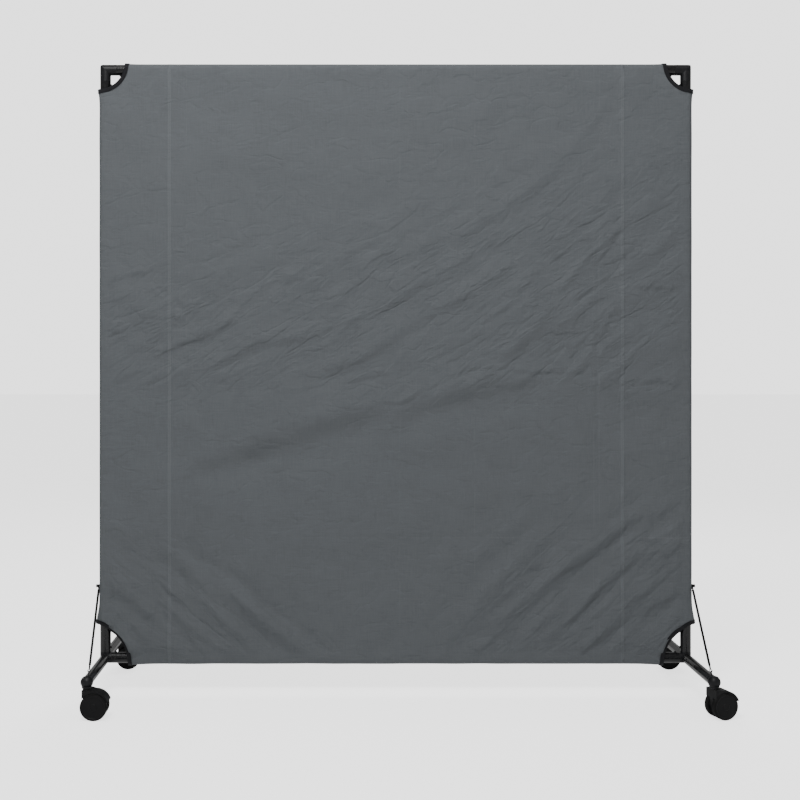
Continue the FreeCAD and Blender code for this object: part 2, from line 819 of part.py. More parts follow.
# Canvas cover and its corner bindings


def flat_bag(name, radius):
    """The space inside a sleeve stretched round the four tubes, at a radius from their axes."""
    span = post_x * 2
    rise = top_z - low_z
    base = low_z - radius
    tall = rise + radius * 2
    post_ends = [
        rod(f"{name}_post_{side_name}", radius, tall, [side * post_x, ZERO, base], "+Z")
        for side_name, side in SIDES.items()
    ]
    slab = block(f"{name}_slab", [span, radius * 2, tall], [-post_x, -radius, base])
    plan = fuse(f"{name}_plan", [slab] + post_ends)
    rail_ends = [
        rod(f"{name}_rail_{i}", radius, span + radius * 2, [-post_x - radius, ZERO, z], "+X")
        for i, z in enumerate((low_z, top_z))
    ]
    sheet_block = block(
        f"{name}_sheet", [span + radius * 2, radius * 2, rise], [-post_x - radius, -radius, low_z]
    )
    section = fuse(f"{name}_section", [sheet_block] + rail_ends)
    return common(name, [plan, section])


def corner_plug(name, side, top, inset):
    """A cylinder or elliptic cylinder through the cover about an outer corner of the frame."""
    depth = (binding_outer_r + OVERRUN) * 2
    x = side * (post_x + tube_r)
    if top:
        start = [x, -depth / 2, top_z + tube_r]
        return rod(name, S["top_cutout"] - inset, depth, start, "+Y")
    oval = doc.addObject("Part::Ellipse", f"{name}_oval")
    oval.setExpression("MajorRadius", (S["bottom_cutout_height"] - inset).text)
    oval.setExpression("MinorRadius", (S["bottom_cutout_width"] - inset).text)
    # Turned so that its long axis stands along Z and its normal along Y.
    put(oval, [x, ZERO, low_z - tube_r], FreeCAD.Rotation(FreeCAD.Vector(1, 1, 1), 240))
    plug = doc.addObject("Part::Extrusion", name)
    plug.Base = oval
    plug.DirMode = "Custom"
    plug.Dir = FreeCAD.Vector(0, 1, 0)
    plug.setExpression("LengthFwd", depth.text)
    plug.Symmetric = True
    plug.Solid = True
    return plug


def make_cover():
    outer = flat_bag("cloth_outer", cloth_outer_r)
    inner = flat_bag("cloth_inner", cloth_inner_r)
    corners = [(f"{level}_{s}", SIDES[s], level == "top") for level in ("top", "bottom") for s in SIDES]
    plugs = [corner_plug(f"cutout_{title}", side, top, ZERO) for title, side, top in corners]
    hole_r = S["stud_diameter"] / 2 + S["stud_hole_clearance"]
    eyelets = [
        rod(f"eyelet_{s}", hole_r, tube_r * 2, [side * post_x, ZERO, stud_z], signed("X", side))
        for s, side in SIDES.items()
    ]
    sleeve = cut("sleeve", outer, fuse("sleeve_cuts", [inner] + plugs + eyelets))
    half = S["centre_cloth_width"] / 2
    beyond = cloth_outer_r + OVERRUN
    far = post_x + beyond
    spans = {"canvas_left": (-far, -half), "canvas_centre": (-half, half), "canvas_right": (half, far)}
    low = low_z - beyond
    high = top_z + beyond
    for label, (start, end) in spans.items():
        piece = block(
            f"{label}_span",
            [end - start, beyond * 2, high - low],
            [start, -beyond, low],
        )
        node(common(label, [sleeve, piece]), label)

    raised = flat_bag("binding_outer", binding_outer_r)
    skin = cut("binding_skin", raised, inner)
    bindings = []
    for title, side, top in corners:
        wide = corner_plug(f"binding_wide_{title}", side, top, ZERO)
        narrow = corner_plug(f"binding_narrow_{title}", side, top, S["binding_width"])
        strip = cut(f"binding_strip_{title}", wide, narrow)
        bindings.append(common(f"binding_{title}", [skin, strip]))
    node(group("corner_bindings", bindings), "corner_bindings")


# Stays


def ring_wire():
    return S["stay_ring_wire"] / 2


def ring_x(end_name):
    """Where a stay's upper ring lies on the stud, out from the post's centre."""
    first = cloth_outer_r + S["ring_gap"] + S["ferrule_diameter"] / 2
    step = S["stay_diameter"] / 2 + ring_wire() + S["ring_gap"]
    return first if end_name == "front" else first + step


def make_stay(end_name, side_name):
    """A taut cord from the stud on the post to the eye on the leg, with a ring at each end."""
    label = f"stay_{end_name}_{side_name}"
    side = SIDES[side_name]
    end = ENDS[end_name]
    wire = ring_wire().value
    ring_r = S["stay_ring_radius"].value
    head = FreeCAD.Vector(side * (post_x + ring_x(end_name)).value, 0, stud_z.value)
    eye = FreeCAD.Vector(side * post_x.value, end * S["stay_foot"].value, eye_level().value)
    # The lower ring hangs in the eye, pulled towards the stud.
    level = FreeCAD.Vector(0, head.y - eye.y, head.z - eye.z).normalize()
    eye_r = S["eye_radius"].value
    slack = ring_r - wire - S["eye_wire"].value / 2 - S["link_gap"].value
    foot = eye + level * (eye_r + slack)
    run = (head - foot).normalize()
    upper = Part.makeTorus(ring_r, wire, head, FreeCAD.Vector(1, 0, 0))
    lower = Part.makeTorus(ring_r, wire, foot, FreeCAD.Vector(1, 0, 0).cross(level))
    begin = foot + run * ring_r
    finish = head - run * ring_r
    cord = Part.makeCylinder(S["stay_diameter"].value / 2, (finish - begin).Length, begin, run)
    sleeve_r = S["ferrule_diameter"].value / 2
    sleeve_length = S["ferrule_length"].value
    setback = S["ferrule_setback"].value
    start_sleeve = Part.makeCylinder(sleeve_r, sleeve_length, begin + run * setback, run)
    end_sleeve = Part.makeCylinder(sleeve_r, sleeve_length, finish - run * setback, run * -1)
    item = doc.addObject("Part::Feature", label)
    item.Shape = upper.fuse([lower, cord, start_sleeve, end_sleeve])
    node(item, label)


def eye_level():
    return low_z + leg_r + S["eye_radius"] + S["eye_wire"] / 4


def make_stay_anchors():
    """A knobbed stud on each post and an eye on each leg."""
    pieces = []
    for side_name, side in SIDES.items():
        way = signed("X", side)
        base = [side * (post_x + tube_bore_r), ZERO, stud_z]
        shaft = ring_x("rear") + S["stay_diameter"] / 2 + S["ring_gap"] - tube_bore_r
        stud = rod(f"stud_{side_name}_shaft", S["stud_diameter"] / 2, shaft, base, way)
        knob = rod(
            f"stud_{side_name}_knob",
            S["knob_diameter"] / 2,
            S["knob_length"],
            along(base, way, shaft),
            way,
        )
        pieces.append(fuse(f"stud_{side_name}", [stud, knob]))
        for end_name, end in ENDS.items():
            centre = [side * post_x, end * S["stay_foot"], eye_level()]
            wire = S["eye_wire"] / 2
            loop = ring(f"eye_{end_name}_{side_name}_loop", S["eye_radius"], wire, centre, TURNS["+X"])
            stalk_base = low_z + leg_bore_r + S["eye_wire"] / 8
            stalk_top = eye_level() - S["eye_radius"]
            stalk = rod(
                f"eye_{end_name}_{side_name}_stalk",
                wire,
                stalk_top - stalk_base,
                [centre[0], centre[1], stalk_base],
                "+Z",
            )
            pieces.append(fuse(f"eye_{end_name}_{side_name}", [loop, stalk]))
    node(group("stay_anchors", pieces), "stay_anchors")


def make_all():
    make_rail("top_rail", top_z, S["elbow_reach"], "-Z")
    make_rail("bottom_rail", low_z, S["foot_reach"], "+Z")
    for side_name in SIDES:
        make_post(side_name)
        make_elbow(side_name)
        make_foot_connector(side_name)
    stems = []
    for end_name in ENDS:
        for side_name in SIDES:
            make_leg(end_name, side_name)
            make_caster_socket(end_name, side_name)
            stems.append(make_caster_stem(end_name, side_name))
            make_hood(end_name, side_name)
            make_axle(end_name, side_name)
            outer = ENDS[end_name]
            make_wheel(end_name, side_name, "outer", outer)
            make_wheel(end_name, side_name, "inner", -outer)
            make_stay(end_name, side_name)
    node(group("caster_stems", stems), "caster_stems")
    make_snap_buttons()
    make_cover()
    make_stay_anchors()


def check_and_write():
    """Refuse a failed object or an unsound shape, then write each piece to its own file."""
    doc.recompute()
    failed = [o.Label for o in doc.Objects if "Invalid" in o.State or "Error" in o.State]
    if failed:
        raise RuntimeError(f"failed objects: {failed}")
    for item in NODES:
        shape = item.Shape
        if shape.isNull() or not shape.isValid() or not shape.Solids:
            raise RuntimeError(f"{item.Label} has no sound shape")
    os.makedirs("parts", exist_ok=True)
    for item in NODES:
        item.Shape.exportStep(f"parts/{item.Label}.step")
        solids = len(item.Shape.Solids)
        print(f"{item.Label}: {solids} solid(s), {item.Shape.Volume / 1000:.2f} cm3")


make_all()
check_and_write()
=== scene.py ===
# %% [markdown]
# # A rolling canvas partition wall, finished in Blender
# The frame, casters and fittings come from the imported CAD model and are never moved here. This lesson
# gives them their paint, plastic and steel, and sews the soft parts that CAD only blocks out: the
# canvas cover, the tape round its cut corners, its seams and its stay cords.

# %% Load the frame
import json
import math
import bmesh
import bpy
import numpy as np
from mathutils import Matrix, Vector, noise


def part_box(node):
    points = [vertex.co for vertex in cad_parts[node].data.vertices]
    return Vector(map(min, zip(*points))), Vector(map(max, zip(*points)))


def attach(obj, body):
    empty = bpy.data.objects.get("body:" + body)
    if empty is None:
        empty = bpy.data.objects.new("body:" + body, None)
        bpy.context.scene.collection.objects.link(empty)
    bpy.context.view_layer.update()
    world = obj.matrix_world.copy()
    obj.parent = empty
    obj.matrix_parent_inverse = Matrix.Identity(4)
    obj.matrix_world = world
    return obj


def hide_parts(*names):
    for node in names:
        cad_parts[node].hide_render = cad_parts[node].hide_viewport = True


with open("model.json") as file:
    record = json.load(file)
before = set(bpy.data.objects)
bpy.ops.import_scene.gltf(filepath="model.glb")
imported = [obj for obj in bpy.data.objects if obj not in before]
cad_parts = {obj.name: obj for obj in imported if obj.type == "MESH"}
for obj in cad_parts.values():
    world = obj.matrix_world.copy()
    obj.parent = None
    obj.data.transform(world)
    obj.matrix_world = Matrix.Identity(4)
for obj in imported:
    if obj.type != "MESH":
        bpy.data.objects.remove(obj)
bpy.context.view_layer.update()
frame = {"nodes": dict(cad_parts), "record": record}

# %% [markdown]
# ## Camera
# A portrait of a wall is taken square on, so that the posts stay parallel. The camera looks straight
# along +Y and the lens is shifted a little, as an architect's view camera is, which keeps the panel's
# edges upright while the camera stands slightly to one side of the middle.

# %% Place the camera
CAMERA_PLACE = Vector((-0.1823, -3.8194, 1.0048))
camera_data = bpy.data.cameras.new("camera")
camera_data.sensor_width = 36.0
camera_data.lens = 57.27
camera_data.shift_x = 0.0815
camera_data.shift_y = -0.0543
camera = bpy.data.objects.new("camera", camera_data)
bpy.context.scene.collection.objects.link(camera)
camera.location = CAMERA_PLACE
camera.rotation_euler = (math.pi / 2, 0, 0)
bpy.context.scene.camera = camera
print("camera at", list(CAMERA_PLACE))

# %% [markdown]
# ## Floor and light
# A pale floor and a pale, even surrounding light keep the background clean. One large soft light
# stands in front and up to the left, so the cloth is brighter at its upper left, and a low strip in
# front draws the long thin highlights on the gloss tube. A weaker one behind lights the cover's back.

# %% Floor, surroundings and lights
def glow_for_camera(tree, socket, seen, felt):
    """Drive a strength that is one value where the camera sees it and another for the light it gives."""
    path = tree.nodes.new("ShaderNodeLightPath")
    choice = tree.nodes.new("ShaderNodeMapRange")
    choice.inputs["To Min"].default_value = felt
    choice.inputs["To Max"].default_value = seen
    tree.links.new(path.outputs["Is Camera Ray"], choice.inputs["Value"])
    tree.links.new(choice.outputs["Result"], socket)


def floor_paint():
    """White studio paint, bright to the camera so that it runs into the pale surroundings."""
    material = bpy.data.materials.new("floor_paint")
    material.use_nodes = True
    shader = material.node_tree.nodes["Principled BSDF"]
    shader.inputs["Base Color"].default_value = (0.95, 0.95, 0.95, 1)
    shader.inputs["Roughness"].default_value = 0.9
    shader.inputs["Emission Color"].default_value = (1, 1, 1, 1)
    glow_for_camera(material.node_tree, shader.inputs["Emission Strength"], FLOOR_SEEN, 0.0)
    return material


def area_light(name, place, target, size, power):
    """A soft rectangular light that faces a target."""
    data = bpy.data.lights.new(name, "AREA")
    data.shape = "RECTANGLE"
    data.size, data.size_y = size
    data.energy = power
    light = bpy.data.objects.new(name, data)
    bpy.context.scene.collection.objects.link(light)
    light.location = place
    light.rotation_euler = (Vector(target) - Vector(place)).to_track_quat("-Z", "Y").to_euler()
    return light


FLOOR_SEEN = 1.8
SKY_SEEN = 2.3
SKY_FELT = 0.3

bpy.ops.object.select_all(action="DESELECT")
bpy.ops.mesh.primitive_plane_add(size=60, location=(0, 0, 0))
floor = bpy.context.object
floor.name = "studio_floor"
floor.data.materials.append(floor_paint())

world = bpy.data.worlds.new("studio")
bpy.context.scene.world = world
world.use_nodes = True
sky = world.node_tree.nodes["Background"]
sky.inputs["Color"].default_value = (1, 1, 1, 1)
glow_for_camera(world.node_tree, sky.inputs["Strength"], SKY_SEEN, SKY_FELT)

area_light("key", (-0.7, -2.5, 3.8), (-0.1, 0, 1.3), (1.0, 1.0), 85)
area_light("top", (-0.2, -1.3, 4.2), (0, 0, 1.2), (3.0, 0.7), 16)
area_light("strip", (-0.6, -4.6, 1.5), (0, 0, 0.8), (1.6, 0.3), 8)
area_light("behind", (0.6, 3.2, 3.6), (0, 0, 1.2), (1.6, 1.6), 60)
print("stage ready")

# %% [markdown]
# ## Shader groups
# Several finishes share the same small effects: a fine grain, worn edges, and dust in the low places.
# Each is made once as a node group that gives out only masks and heights, and each material sets its
# own amounts.

# %% A builder for shader groups
def new_group(name, inputs, outputs):
    """A shader node group. inputs are (name, socket type, default) and outputs (name, socket type)."""
    group = bpy.data.node_groups.new(name, "ShaderNodeTree")
    for title, kind, default in inputs:
        socket = group.interface.new_socket(title, in_out="INPUT", socket_type=kind)
        if default is not None:
            socket.default_value = default
    for title, kind in outputs:
        group.interface.new_socket(title, in_out="OUTPUT", socket_type=kind)
    way_in = group.nodes.new("NodeGroupInput")
    way_out = group.nodes.new("NodeGroupOutput")
    return group, way_in, way_out


def math_node(tree, operation, first, second=None, clamp=False):
    """A math node whose inputs are sockets or numbers."""
    item = tree.nodes.new("ShaderNodeMath")
    item.operation = operation
    item.use_clamp = clamp
    for socket, value in zip(item.inputs, (first, second)):
        if value is None:
            continue
        if isinstance(value, (int, float)):
            socket.default_value = value
        else:
            tree.links.new(value, socket)
    return item.outputs["Value"]


def times(tree, first, second, clamp=False):
    return math_node(tree, "MULTIPLY", first, second, clamp)


def plus(tree, first, second, clamp=False):
    return math_node(tree, "ADD", first, second, clamp)


def noise_node(tree, vector, scale, detail=3.0, roughness=0.5):
    """Fractal noise read at a vector. scale may be a socket or a number."""
    item = tree.nodes.new("ShaderNodeTexNoise")
    item.inputs["Detail"].default_value = detail
    item.inputs["Roughness"].default_value = roughness
    if isinstance(scale, (int, float)):
        item.inputs["Scale"].default_value = scale
    else:
        tree.links.new(scale, item.inputs["Scale"])
    tree.links.new(vector, item.inputs["Vector"])
    return item.outputs["Fac"]


def ramp_node(tree, value, low, high):
    """Stretch the range from low to high over 0 to 1."""
    item = tree.nodes.new("ShaderNodeMapRange")
    item.interpolation_type = "SMOOTHSTEP"
    item.inputs["From Min"].default_value = low
    item.inputs["From Max"].default_value = high
    tree.links.new(value, item.inputs["Value"])
    return item.outputs["Result"]


def bump_node(tree, height, strength, distance, below=None):
    """A bump from a height, laid over another bump if below is given. Gives the normal."""
    item = tree.nodes.new("ShaderNodeBump")
    item.inputs["Strength"].default_value = strength
    item.inputs["Distance"].default_value = distance
    tree.links.new(height, item.inputs["Height"])
    if below is not None:
        tree.links.new(below, item.inputs["Normal"])
    return item.outputs["Normal"]


# %% Grain, edge wear, dust and weave
def make_grain_group():
    """Fine moulded or sprayed grain: a height and a slow blotch mask."""
    group, way_in, way_out = new_group(
        "fine_grain",
        [("Vector", "NodeSocketVector", None), ("Scale", "NodeSocketFloat", 900.0)],
        [("Height", "NodeSocketFloat"), ("Blotch", "NodeSocketFloat")],
    )
    fine = noise_node(group, way_in.outputs["Vector"], way_in.outputs["Scale"], 2.0)
    slow_scale = times(group, way_in.outputs["Scale"], 0.02)
    slow = noise_node(group, way_in.outputs["Vector"], slow_scale, 3.0)
    group.links.new(fine, way_out.inputs["Height"])
    group.links.new(slow, way_out.inputs["Blotch"])
    return group


def make_wear_group():
    """Rubbed edges: convex places broken up by noise."""
    group, way_in, way_out = new_group(
        "edge_wear",
        [
            ("Vector", "NodeSocketVector", None),
            ("Amount", "NodeSocketFloat", 0.5),
            ("Scale", "NodeSocketFloat", 120.0),
        ],
        [("Mask", "NodeSocketFloat")],
    )
    geometry = group.nodes.new("ShaderNodeNewGeometry")
    convex = ramp_node(group, geometry.outputs["Pointiness"], 0.52, 0.62)
    broken = noise_node(group, way_in.outputs["Vector"], way_in.outputs["Scale"], 4.0, 0.65)
    broken = ramp_node(group, broken, 0.42, 0.62)
    mask = times(group, times(group, convex, broken), way_in.outputs["Amount"], clamp=True)
    group.links.new(mask, way_out.inputs["Mask"])
    return group


def make_dust_group():
    """Dust that settles on what faces up, in soft patches."""
    group, way_in, way_out = new_group(
        "settled_dust",
        [("Vector", "NodeSocketVector", None), ("Amount", "NodeSocketFloat", 0.3)],
        [("Mask", "NodeSocketFloat")],
    )
    geometry = group.nodes.new("ShaderNodeNewGeometry")
    split = group.nodes.new("ShaderNodeSeparateXYZ")
    group.links.new(geometry.outputs["Normal"], split.inputs["Vector"])
    up = ramp_node(group, split.outputs["Z"], 0.2, 1.0)
    patches = ramp_node(group, noise_node(group, way_in.outputs["Vector"], 22.0, 5.0, 0.6), 0.35, 0.7)
    mask = times(group, times(group, up, patches), way_in.outputs["Amount"], clamp=True)
    group.links.new(mask, way_out.inputs["Mask"])
    return group


def make_weave_group():
    """Plain weave read from a flat map in metres: thread heights and a slub mask."""
    group, way_in, way_out = new_group(
        "plain_weave",
        [("Vector", "NodeSocketVector", None), ("Threads per metre", "NodeSocketFloat", 1250.0)],
        [("Height", "NodeSocketFloat"), ("Slub", "NodeSocketFloat")],
    )
    split = group.nodes.new("ShaderNodeSeparateXYZ")
    group.links.new(way_in.outputs["Vector"], split.inputs["Vector"])
    turn = times(group, way_in.outputs["Threads per metre"], math.pi)
    warp = math_node(group, "SINE", times(group, split.outputs["X"], turn))
    weft = math_node(group, "SINE", times(group, split.outputs["Y"], turn))
    over = ramp_node(group, times(group, warp, weft), -0.25, 0.25)
    under = math_node(group, "SUBTRACT", 1.0, over)
    weft_height = times(group, math_node(group, "ABSOLUTE", weft), over)
    warp_height = times(group, math_node(group, "ABSOLUTE", warp), under)
    height = plus(group, weft_height, warp_height)
    slubs = []
    for stretch in ((6, 120, 1), (120, 6, 1)):
        thread_map = group.nodes.new("ShaderNodeMapping")
        thread_map.inputs["Scale"].default_value = stretch
        group.links.new(way_in.outputs["Vector"], thread_map.inputs["Vector"])
        slubs.append(noise_node(group, thread_map.outputs["Vector"], 3.0, 3.0, 0.6))
    slub = ramp_node(group, times(group, plus(group, *slubs), 0.5), 0.32, 0.68)
    group.links.new(height, way_out.inputs["Height"])
    group.links.new(slub, way_out.inputs["Slub"])
    return group


GRAIN = make_grain_group()
WEAR = make_wear_group()
DUST = make_dust_group()
WEAVE = make_weave_group()
print("groups:", [group.name for group in bpy.data.node_groups])

# %% [markdown]
# ## Hard finishes
# The tubes are powder coated: a smooth gloss black with a faint orange-peel ripple. The fittings and
# casters are moulded nylon and softer to the light. Each finish is a small recipe of colour,
# roughness, grain, wear and dust, so one function makes them all.

# %% Finishes for the CAD nodes
def place_group(tree, group, vector, **values):
    """Put a shader group into a material, with its own values."""
    item = tree.nodes.new("ShaderNodeGroup")
    item.node_tree = group
    tree.links.new(vector, item.inputs["Vector"])
    for title, value in values.items():
        item.inputs[title.replace("_", " ")].default_value = value
    return item


def mix_colour(tree, factor, first, second):
    """Blend two colours by a mask. Each is a socket or a plain colour."""
    item = tree.nodes.new("ShaderNodeMix")
    item.data_type = "RGBA"
    tree.links.new(factor, item.inputs["Factor"])
    ends = [s for s in item.inputs if s.type == "RGBA"]
    for socket, value in zip(ends, (first, second)):
        if isinstance(value, tuple):
            socket.default_value = (*value, 1)
        else:
            tree.links.new(value, socket)
    return next(s for s in item.outputs if s.type == "RGBA")


def start_material(name):
    """An empty node material, its shader and its object coordinates."""
    material = bpy.data.materials.new(name)
    material.use_nodes = True
    tree = material.node_tree
    shader = tree.nodes["Principled BSDF"]
    place = tree.nodes.new("ShaderNodeTexCoord")
    return material, tree, shader, place


DUST_COLOUR = (0.12, 0.118, 0.112)
RIPPLE_HEIGHT = 0.001


def hard_finish(
    name, colour, worn, roughness, grain, ripple, metal=0.0, coat=0.0, dust=0.25, wear=0.5, shine=0.5
):
    """Paint, plastic or steel. roughness is (smooth, dull), grain is (scale, strength, distance) and
    ripple is (scale, strength)."""
    material, tree, shader, place = start_material(name)
    vector = place.outputs["Object"]
    texture = place_group(tree, GRAIN, vector, Scale=grain[0])
    edges = place_group(tree, WEAR, vector, Amount=wear)
    settled = place_group(tree, DUST, vector, Amount=dust)
    darker = tuple(c * 0.8 for c in colour)
    shade = mix_colour(tree, texture.outputs["Blotch"], darker, colour)
    shade = mix_colour(tree, edges.outputs["Mask"], shade, worn)
    shade = mix_colour(tree, settled.outputs["Mask"], shade, DUST_COLOUR)
    tree.links.new(shade, shader.inputs["Base Color"])
    spread = roughness[1] - roughness[0]
    dull = plus(tree, times(tree, texture.outputs["Blotch"], spread), roughness[0])
    dull = plus(tree, dull, times(tree, settled.outputs["Mask"], 0.5), clamp=True)
    tree.links.new(dull, shader.inputs["Roughness"])
    shader.inputs["Metallic"].default_value = metal
    shader.inputs["Specular IOR Level"].default_value = shine
    shader.inputs["Coat Weight"].default_value = coat
    shader.inputs["Coat Roughness"].default_value = 0.08
    wave = bump_node(tree, noise_node(tree, vector, ripple[0], 1.0), ripple[1], RIPPLE_HEIGHT)
    bump = bump_node(tree, texture.outputs["Height"], grain[1], grain[2], wave)
    tree.links.new(bump, shader.inputs["Normal"])
    return material


METAL_GRAIN = (2600, 0.2, 0.0001)
METAL_RIPPLE = (60, 0.05)
FINISHES = {
    "black_tube": hard_finish(
        "gloss_black_powder_coat", (0.007, 0.007, 0.008), (0.06, 0.06, 0.06), (0.12, 0.22),
        (1600, 0.02, 0.0001), (200, 0.01), coat=0.4, dust=0.05, wear=0.15, shine=0.3,
    ),
    "fitting_plastic": hard_finish(
        "satin_black_nylon", (0.012, 0.012, 0.014), (0.05, 0.05, 0.053), (0.34, 0.5),
        (2400, 0.15, 0.0001), (120, 0.03), dust=0.08, wear=0.25, shine=0.3,
    ),
    "caster_plastic": hard_finish(
        "caster_nylon", (0.006, 0.006, 0.0065), (0.03, 0.03, 0.03), (0.42, 0.6),
        (2000, 0.15, 0.0001), (90, 0.03), dust=0.1, wear=0.3, shine=0.25,
    ),
    "tread_rubber": hard_finish(
        "tread_rubber", (0.007, 0.007, 0.007), (0.03, 0.03, 0.03), (0.6, 0.85),
        (1500, 0.6, 0.0003), (200, 0.2), dust=0.3, wear=0.5, shine=0.2,
    ),
    "plated_steel": hard_finish(
        "zinc_plate", (0.5, 0.5, 0.51), (0.75, 0.75, 0.75), (0.25, 0.4),
        METAL_GRAIN, METAL_RIPPLE, metal=1.0, dust=0.1, wear=0.3,
    ),
    "spring_steel": hard_finish(
        "spring_steel", (0.35, 0.36, 0.38), (0.6, 0.6, 0.6), (0.25, 0.4),
        METAL_GRAIN, METAL_RIPPLE, metal=1.0, dust=0.05, wear=0.3,
    ),
    "button_steel": hard_finish(
        "blackened_button", (0.02, 0.02, 0.021), (0.3, 0.3, 0.3), (0.25, 0.4),
        METAL_GRAIN, METAL_RIPPLE, metal=0.6, dust=0.05, wear=0.8,
    ),
    "anchor_steel": hard_finish(
        "black_anchor", (0.02, 0.02, 0.021), (0.25, 0.25, 0.25), (0.3, 0.45),
        METAL_GRAIN, METAL_RIPPLE, metal=0.3, dust=0.1, wear=0.6,
    ),
    "stay_cord": hard_finish(
        "sheathed_cord", (0.005, 0.005, 0.006), (0.02, 0.02, 0.02), (0.6, 0.8),
        (1800, 0.5, 0.0003), (400, 0.4), dust=0.05, wear=0.3, shine=0.15,
    ),
}


def dress_cad_nodes():
    """Give each CAD node the finish for the slot that the record names, where there is one."""
    slots = {part["node"]: part["material_slot"] for part in frame["record"]["subparts"]}
    dressed = 0
    for name, item in frame["nodes"].items():
        finish = FINISHES.get(slots[name])
        if finish is None:
            continue
        item.data.materials.clear()
        item.data.materials.append(finish)
        dressed += 1
    return dressed


print("dressed", dress_cad_nodes(), "CAD nodes")

# %% [markdown]
# ## The canvas cover
# The real cover is a sleeve of three widths of canvas, sewn edge to edge with felled seams and pulled
# over the tubes before the corners are snapped together. It could be draped by simulation, but a
# cover that is stretched on a frame holds its place: its shape is a flat bag with soft, long creases.
# So it starts as a grid whose border is rolled round the tubes by extruding it step by step, is
# mirrored for the back, has its corners cut out, and is then creased by moving its points.

# %% Sizes of the cover
centre_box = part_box("canvas_centre")
right_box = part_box("canvas_right")
post_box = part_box("left_post")
top_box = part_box("top_rail")
low_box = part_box("bottom_rail")

SEAM = centre_box[1].x
TUBE = (post_box[1].x - post_box[0].x) / 2
POST = -(post_box[0].x + post_box[1].x) / 2
TOP = (top_box[0].z + top_box[1].z) / 2
LOW = (low_box[0].z + low_box[1].z) / 2
FRAME_EDGE = POST + TUBE
CLOTH_THICK = 0.0008
ROLL = right_box[1].x - POST - CLOTH_THICK / 2
MIDDLE_Z = (TOP + LOW) / 2
PITCH = 0.0145
ROLL_STEPS = 6
print("half width", round(POST + ROLL, 4), "seams at", round(SEAM, 4), "roll", round(ROLL, 4))


# %% Helpers for modelling by hand
def only(item):
    """Select one object and make it active."""
    bpy.ops.object.select_all(action="DESELECT")
    item.select_set(True)
    bpy.context.view_layer.objects.active = item


def apply_place(item):
    """Put an object's place, turn and scale into its mesh."""
    only(item)
    bpy.ops.object.transform_apply(location=True, rotation=True, scale=True)


def apply_modifier(item, kind, **settings):
    """Add one modifier, set it and apply it."""
    only(item)
    bpy.ops.object.modifier_add(type=kind)
    modifier = item.modifiers[-1]
    for key, value in settings.items():
        setattr(modifier, key, value)
    bpy.ops.object.modifier_apply(modifier=modifier.name)


def points_of(item):
    """The points of a mesh as an array of rows."""
    flat = np.empty(len(item.data.vertices) * 3)
    item.data.vertices.foreach_get("co", flat)
    return flat.reshape(-1, 3)


def set_points(item, points):
    item.data.vertices.foreach_set("co", points.reshape(-1))
    item.data.update()


def delete_faces(item, chosen):
    """Delete the faces for which chosen(face centre, face normal, corners) is true."""
    mesh = bmesh.new()
    mesh.from_mesh(item.data)
    doomed = [f for f in mesh.faces if chosen(f.calc_center_median(), f.normal, [v.co for v in f.verts])]
    bmesh.ops.delete(mesh, geom=doomed, context="FACES")
    mesh.to_mesh(item.data)
    mesh.free()
    return len(doomed)


# %% Roll a flat sheet round the four tubes
def rolled_bag(name, pitch):
    """A closed flat bag: a grid whose border is extruded round the tubes, mirrored for the back."""
    columns = round(2 * POST / pitch)
    rows = round((TOP - LOW) / pitch)
    bpy.ops.object.select_all(action="DESELECT")
    bpy.ops.mesh.primitive_grid_add(
        x_subdivisions=columns, y_subdivisions=rows, size=1, rotation=(math.pi / 2, 0, 0)
    )
    bag = bpy.context.object
    bag.name = name
    bag.scale = (2 * POST, TOP - LOW, 1)
    bag.location = (0, -ROLL, MIDDLE_Z)
    apply_place(bag)
    bpy.ops.object.mode_set(mode="EDIT")
    bpy.ops.mesh.select_mode(type="EDGE")
    bpy.ops.mesh.select_all(action="DESELECT")
    bpy.ops.mesh.select_non_manifold()
    out, depth = 0.0, -ROLL
    for step in range(1, ROLL_STEPS + 1):
        angle = math.pi / 2 * step / ROLL_STEPS
        new_out, new_depth = ROLL * math.sin(angle), -ROLL * math.cos(angle)
        bpy.ops.mesh.extrude_edges_move(
            TRANSFORM_OT_translate={"value": (0, new_depth - depth, 0)}
        )
        wide = (POST + new_out) / (POST + out)
        half_rise = (TOP - LOW) / 2
        tall = (half_rise + new_out) / (half_rise + out)
        bpy.ops.transform.resize(value=(wide, 1, tall), center_override=(0, 0, MIDDLE_Z))
        out, depth = new_out, new_depth
    bpy.ops.object.mode_set(mode="OBJECT")
    apply_modifier(bag, "MIRROR", use_axis=(False, True, False), use_mirror_merge=True, merge_threshold=1e-5)
    return bag


bag = rolled_bag("cover_blank", PITCH)
print("bag faces", len(bag.data.polygons), "box", [round(c, 4) for c in bag.dimensions])

# %% [markdown]
# ## Cutting the corners
# Each corner of the real cover is cut away in a curve, round at the top and taller than wide at the
# bottom, so that the fittings can be reached. A drum placed on each corner is subtracted, and the
# walls that it leaves between front and back are deleted.

# %% Corner curves
CORNERS = [
    {"side": side, "z": z, "wide": wide, "tall": tall, "title": title}
    for side, word in ((-1, "left"), (1, "right"))
    for z, wide, tall, title in (
        (TOP + TUBE, 0.0875, 0.0875, f"top_{word}"),
        (LOW - TUBE, 0.097, 0.119, f"bottom_{word}"),
    )
]
TAPE_WIDTH = 0.012


def corner_drum(corner, inset, name, segments=128):
    """A drum through the panel about one corner of the frame."""
    bpy.ops.object.select_all(action="DESELECT")
    bpy.ops.mesh.primitive_cylinder_add(
        vertices=segments, radius=1, depth=0.12, rotation=(math.pi / 2, 0, 0),
        location=(corner["side"] * FRAME_EDGE, 0, corner["z"]),
    )
    drum = bpy.context.object
    drum.name = name
    drum.scale = (corner["wide"] - inset, corner["tall"] - inset, 1)
    apply_place(drum)
    return drum


